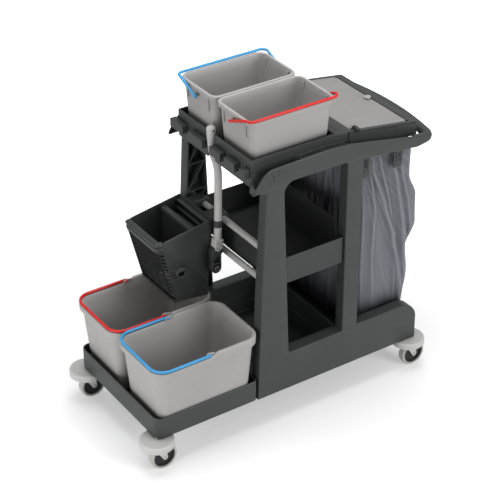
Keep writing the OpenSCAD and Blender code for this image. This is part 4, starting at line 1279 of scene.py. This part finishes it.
def build_flap():
    """Light flap with crowned edges and four faint injection marks."""
    low, high = node_box("bag_lid_flap")
    x0, x1 = low.x, high.x
    half_y = 190.0
    thick = 10.0
    step_x = HINGE_X + 13
    narrow_y = 184.6
    near = [(x0, -narrow_y), (step_x, -narrow_y), (step_x, -half_y), (x1, -half_y)]
    far = [(x, -y) for x, y in near[::-1]]
    outline = fillet(near + far, [2, 1, 1.5, 12, 12, 1.5, 1, 2], 6)
    shape = Shape().prism(outline, -thick, 0.0, on_lid, r_low=0.6, r_high=1.4)
    for y in (-1, 1):
        shape.tube([(HINGE_X, y * 184, 975.5), (HINGE_X, y * 175, 975.5)], 7.2, sides=24, rounded=False)
    piece("lid_flap_panel", shape, "lid_flap", "flap_plastic", ["bag_lid_flap"])
    marks = Shape()
    for x in (276, 432):
        for y in (-160, 160):
            ring = [(9.2, -0.5), (9.2, 0.25), (9.9, 0.25), (9.9, -0.5)]
            marks.lathe(ring, (x, y, lid_top(x)), axis=(0.149, 0, 0.989), sides=36)
    piece("lid_flap_marks", marks, "lid_flap", "flap_plastic")


build_flap()


# ------------------------------------------------------------ waste bag

def bag_rear(z):
    """Rear outline of the bag at a height."""
    line = [(200, 482), (254, 488), (373, 500), (461, 494), (545, 534), (640, 534), (732, 500), (860, 498)]
    for (z0, x0), (z1, x1) in zip(line, line[1:]):
        if z <= z1:
            return mix(x0, x1, smooth((z - z0) / (z1 - z0)))
    return line[-1][1]


def ridge(u, v, seed):
    """Sharp crests that wander slowly: 1 on a crest, 0 in a hollow."""
    return 1 - min(1.0, abs(noise.noise(Vector((u, v, seed)))) * 2.4)


# Long creases on each side: (height, x) down the crest, then half width and height of the crest
CREASES = (
    (((860, 312), (823, 321), (640, 346), (495, 345), (276, 348)), 13, 9),
    (((860, 322), (791, 334), (665, 381), (522, 430), (330, 462)), 15, 13),
    (((860, 352), (821, 361), (686, 401), (564, 425), (400, 440)), 9, 7),
    (((860, 398), (823, 408), (673, 443), (506, 478), (330, 490)), 15, 12),
    (((860, 436), (760, 452), (640, 486), (520, 505), (400, 510)), 10, 8),
    (((860, 285), (700, 296), (500, 300), (250, 304)), 9, 4),
)


def crest_x(line, z):
    for (z0, x0), (z1, x1) in zip(line, line[1:]):
        if z >= z1:
            return mix(x0, x1, (z0 - z) / (z0 - z1))
    return line[-1][1]


def side_creases(x, z):
    """Height of the film above its hollows, 0 to about 14 mm."""
    high = 0.0
    for line, half, crest in CREASES:
        d = (x - crest_x(line, z)) / half
        fade = smooth((z - 215) / 150)
        high = max(high, crest * (0.35 + 0.65 * fade) * math.exp(-abs(d) ** 1.5))
    return high


def fold_depth(x, y, z, side_share):
    """How far the film falls in: creases fan out from above the front clip on the sides."""
    fan = math.atan2(x - 240.0, 985.0 - z)
    seed = 3.1 if y < 0 else 8.4
    side = 15.0 - side_creases(x, z) + 2.0 * (1 - ridge(fan * 16, z * 0.003, seed))
    side += 30.0 * (1 - smooth((x - 256) / 52))
    end = 9.0 * (1 - ridge(y * 0.021, z * 0.003, 1.7)) + 3.0 * (1 - ridge(y * 0.06, z * 0.005, 6.2))
    return mix(end, side, side_share)


def build_bag():
    """Thin film bag that hangs in long creases from its four clips."""
    rows = 90
    low_z, high_z = 201.5, 858.0
    front = 256.0
    width = 394.0
    rings = []
    for i in range(rows + 1):
        v = i / rows
        z = mix(low_z, high_z, v)
        rear = bag_rear(z)
        outline = rounded_rect((rear + front) / 2, 0, rear - front, width, 26, 12, 96, 72)
        calm = mix(0.45, 1.0, smooth(v * 2.2)) * mix(1.0, 0.7, smooth((v - 0.85) / 0.15))
        tuck = 14 * smooth((0.05 - v) / 0.05) ** 2
        ring = []
        for k, (x, y) in enumerate(outline):
            ahead = Vector(outline[(k + 1) % len(outline)]) - Vector(outline[k - 1])
            n = Vector((ahead.y, -ahead.x)).normalized()
            sag = 5 * (0.5 + noise.noise(Vector((x * 0.009, y * 0.009, z * 0.007))))
            depth = max(0.0, fold_depth(x, y, z, n.y * n.y) * calm + sag - 3.0) + tuck
            ring.append((x - n.x * depth, y - n.y * depth, z))
        rings.append(ring)
    shape = Shape().loft(rings, ends=(True, False))
    obj = piece("waste_bag_film", shape, "frame", "bag_film", ["waste_bag"], sharp=80)
    skin = obj.modifiers.new("skin", "SOLIDIFY")
    skin.thickness = 0.6 * MM
    skin.offset = -1


build_bag()


# ------------------------------------------------------------ studio

def area_light(name, place, target, size, power):
    light = bpy.data.lights.new(name, 'AREA')
    light.shape = 'RECTANGLE'
    light.size, light.size_y = size
    light.energy = power
    obj = bpy.data.objects.new(name, light)
    bpy.context.scene.collection.objects.link(obj)
    obj.location = place
    obj.rotation_euler = (Vector(target) - Vector(place)).to_track_quat('-Z', 'Y').to_euler()


def studio():
    scene = bpy.context.scene
    scene.view_settings.view_transform = 'Standard'
    world = bpy.data.worlds.new("studio")
    world.use_nodes = True
    background = world.node_tree.nodes["Background"]
    background.inputs[0].default_value = (1, 1, 1, 1)
    background.inputs[1].default_value = 0.40
    scene.world = world
    # To the camera the backdrop is plain white
    tree = world.node_tree
    paths = tree.nodes.new("ShaderNodeLightPath")
    white = tree.nodes.new("ShaderNodeBackground")
    white.inputs[0].default_value = (1, 1, 1, 1)
    white.inputs[1].default_value = 1.0
    choose = tree.nodes.new("ShaderNodeMixShader")
    tree.links.new(paths.outputs["Is Camera Ray"], choose.inputs[0])
    tree.links.new(background.outputs[0], choose.inputs[1])
    tree.links.new(white.outputs[0], choose.inputs[2])
    tree.links.new(choose.outputs[0], tree.nodes["World Output"].inputs[0])
    middle = (0.0, 0.0, 0.5)
    area_light("key", (1.3, -3.3, 1.9), middle, (1.6, 1.6), 58)
    area_light("low_front", (-1.9, -0.35, 0.45), (-0.5, -0.1, 0.2), (1.0, 0.6), 9)
    area_light("top", (0.0, 0.2, 3.8), middle, (2.6, 2.6), 84)


def floor():
    mesh = bpy.data.meshes.new("floor")
    s = 14.0
    mesh.from_pydata([(-s, -s, 0), (s, -s, 0), (s, s, 0), (-s, s, 0)], [], [(0, 1, 2, 3)])
    n = Nodes("floor")
    speckle = n.blend(n.noise(300, 2.0), (0.8, 0.8, 0.8, 1), (0.84, 0.84, 0.84, 1))
    n.skin(Base_Color=speckle, Roughness=0.7)
    # Lit from below as well, so the backdrop burns out to white and shadows stay faint
    lit = n.new("ShaderNodeEmission")
    away = n.new("ShaderNodeVectorMath", operation='LENGTH')
    n.link(n.coords, away.inputs[0])
    n.link(n.ranged(away.outputs["Value"], 0.8, 1.6, 0.3, 1.0), lit.inputs["Strength"])
    paths = n.new("ShaderNodeLightPath")
    both = n.new("ShaderNodeAddShader")
    n.link(n.shader.outputs[0], both.inputs[0])
    n.link(lit.outputs[0], both.inputs[1])
    seen = n.mixed(paths.outputs["Is Camera Ray"], n.shader.outputs[0], both.outputs[0])
    n.link(seen, n.tree.nodes["Material Output"].inputs["Surface"])
    mesh.materials.append(n.material)
    obj = bpy.data.objects.new("floor", mesh)
    bpy.context.scene.collection.objects.link(obj)


def camera():
    data = bpy.data.cameras.new("camera")
    data.lens = 117.4
    data.sensor_width = 36
    data.clip_end = 50
    obj = bpy.data.objects.new("camera", data)
    bpy.context.scene.collection.objects.link(obj)
    azimuth, elevation = math.radians(-33.966), math.radians(32.110)
    distance = 5.3469
    target = Vector((-0.0012, 0.0204, 0.507))
    back = Vector((math.sin(azimuth) * math.cos(elevation), -math.cos(azimuth) * math.cos(elevation),
                   math.sin(elevation)))
    obj.location = target + back * distance
    obj.rotation_euler = back.to_track_quat('Z', 'Y').to_euler()
    bpy.context.scene.camera = obj


studio()
floor()
camera()
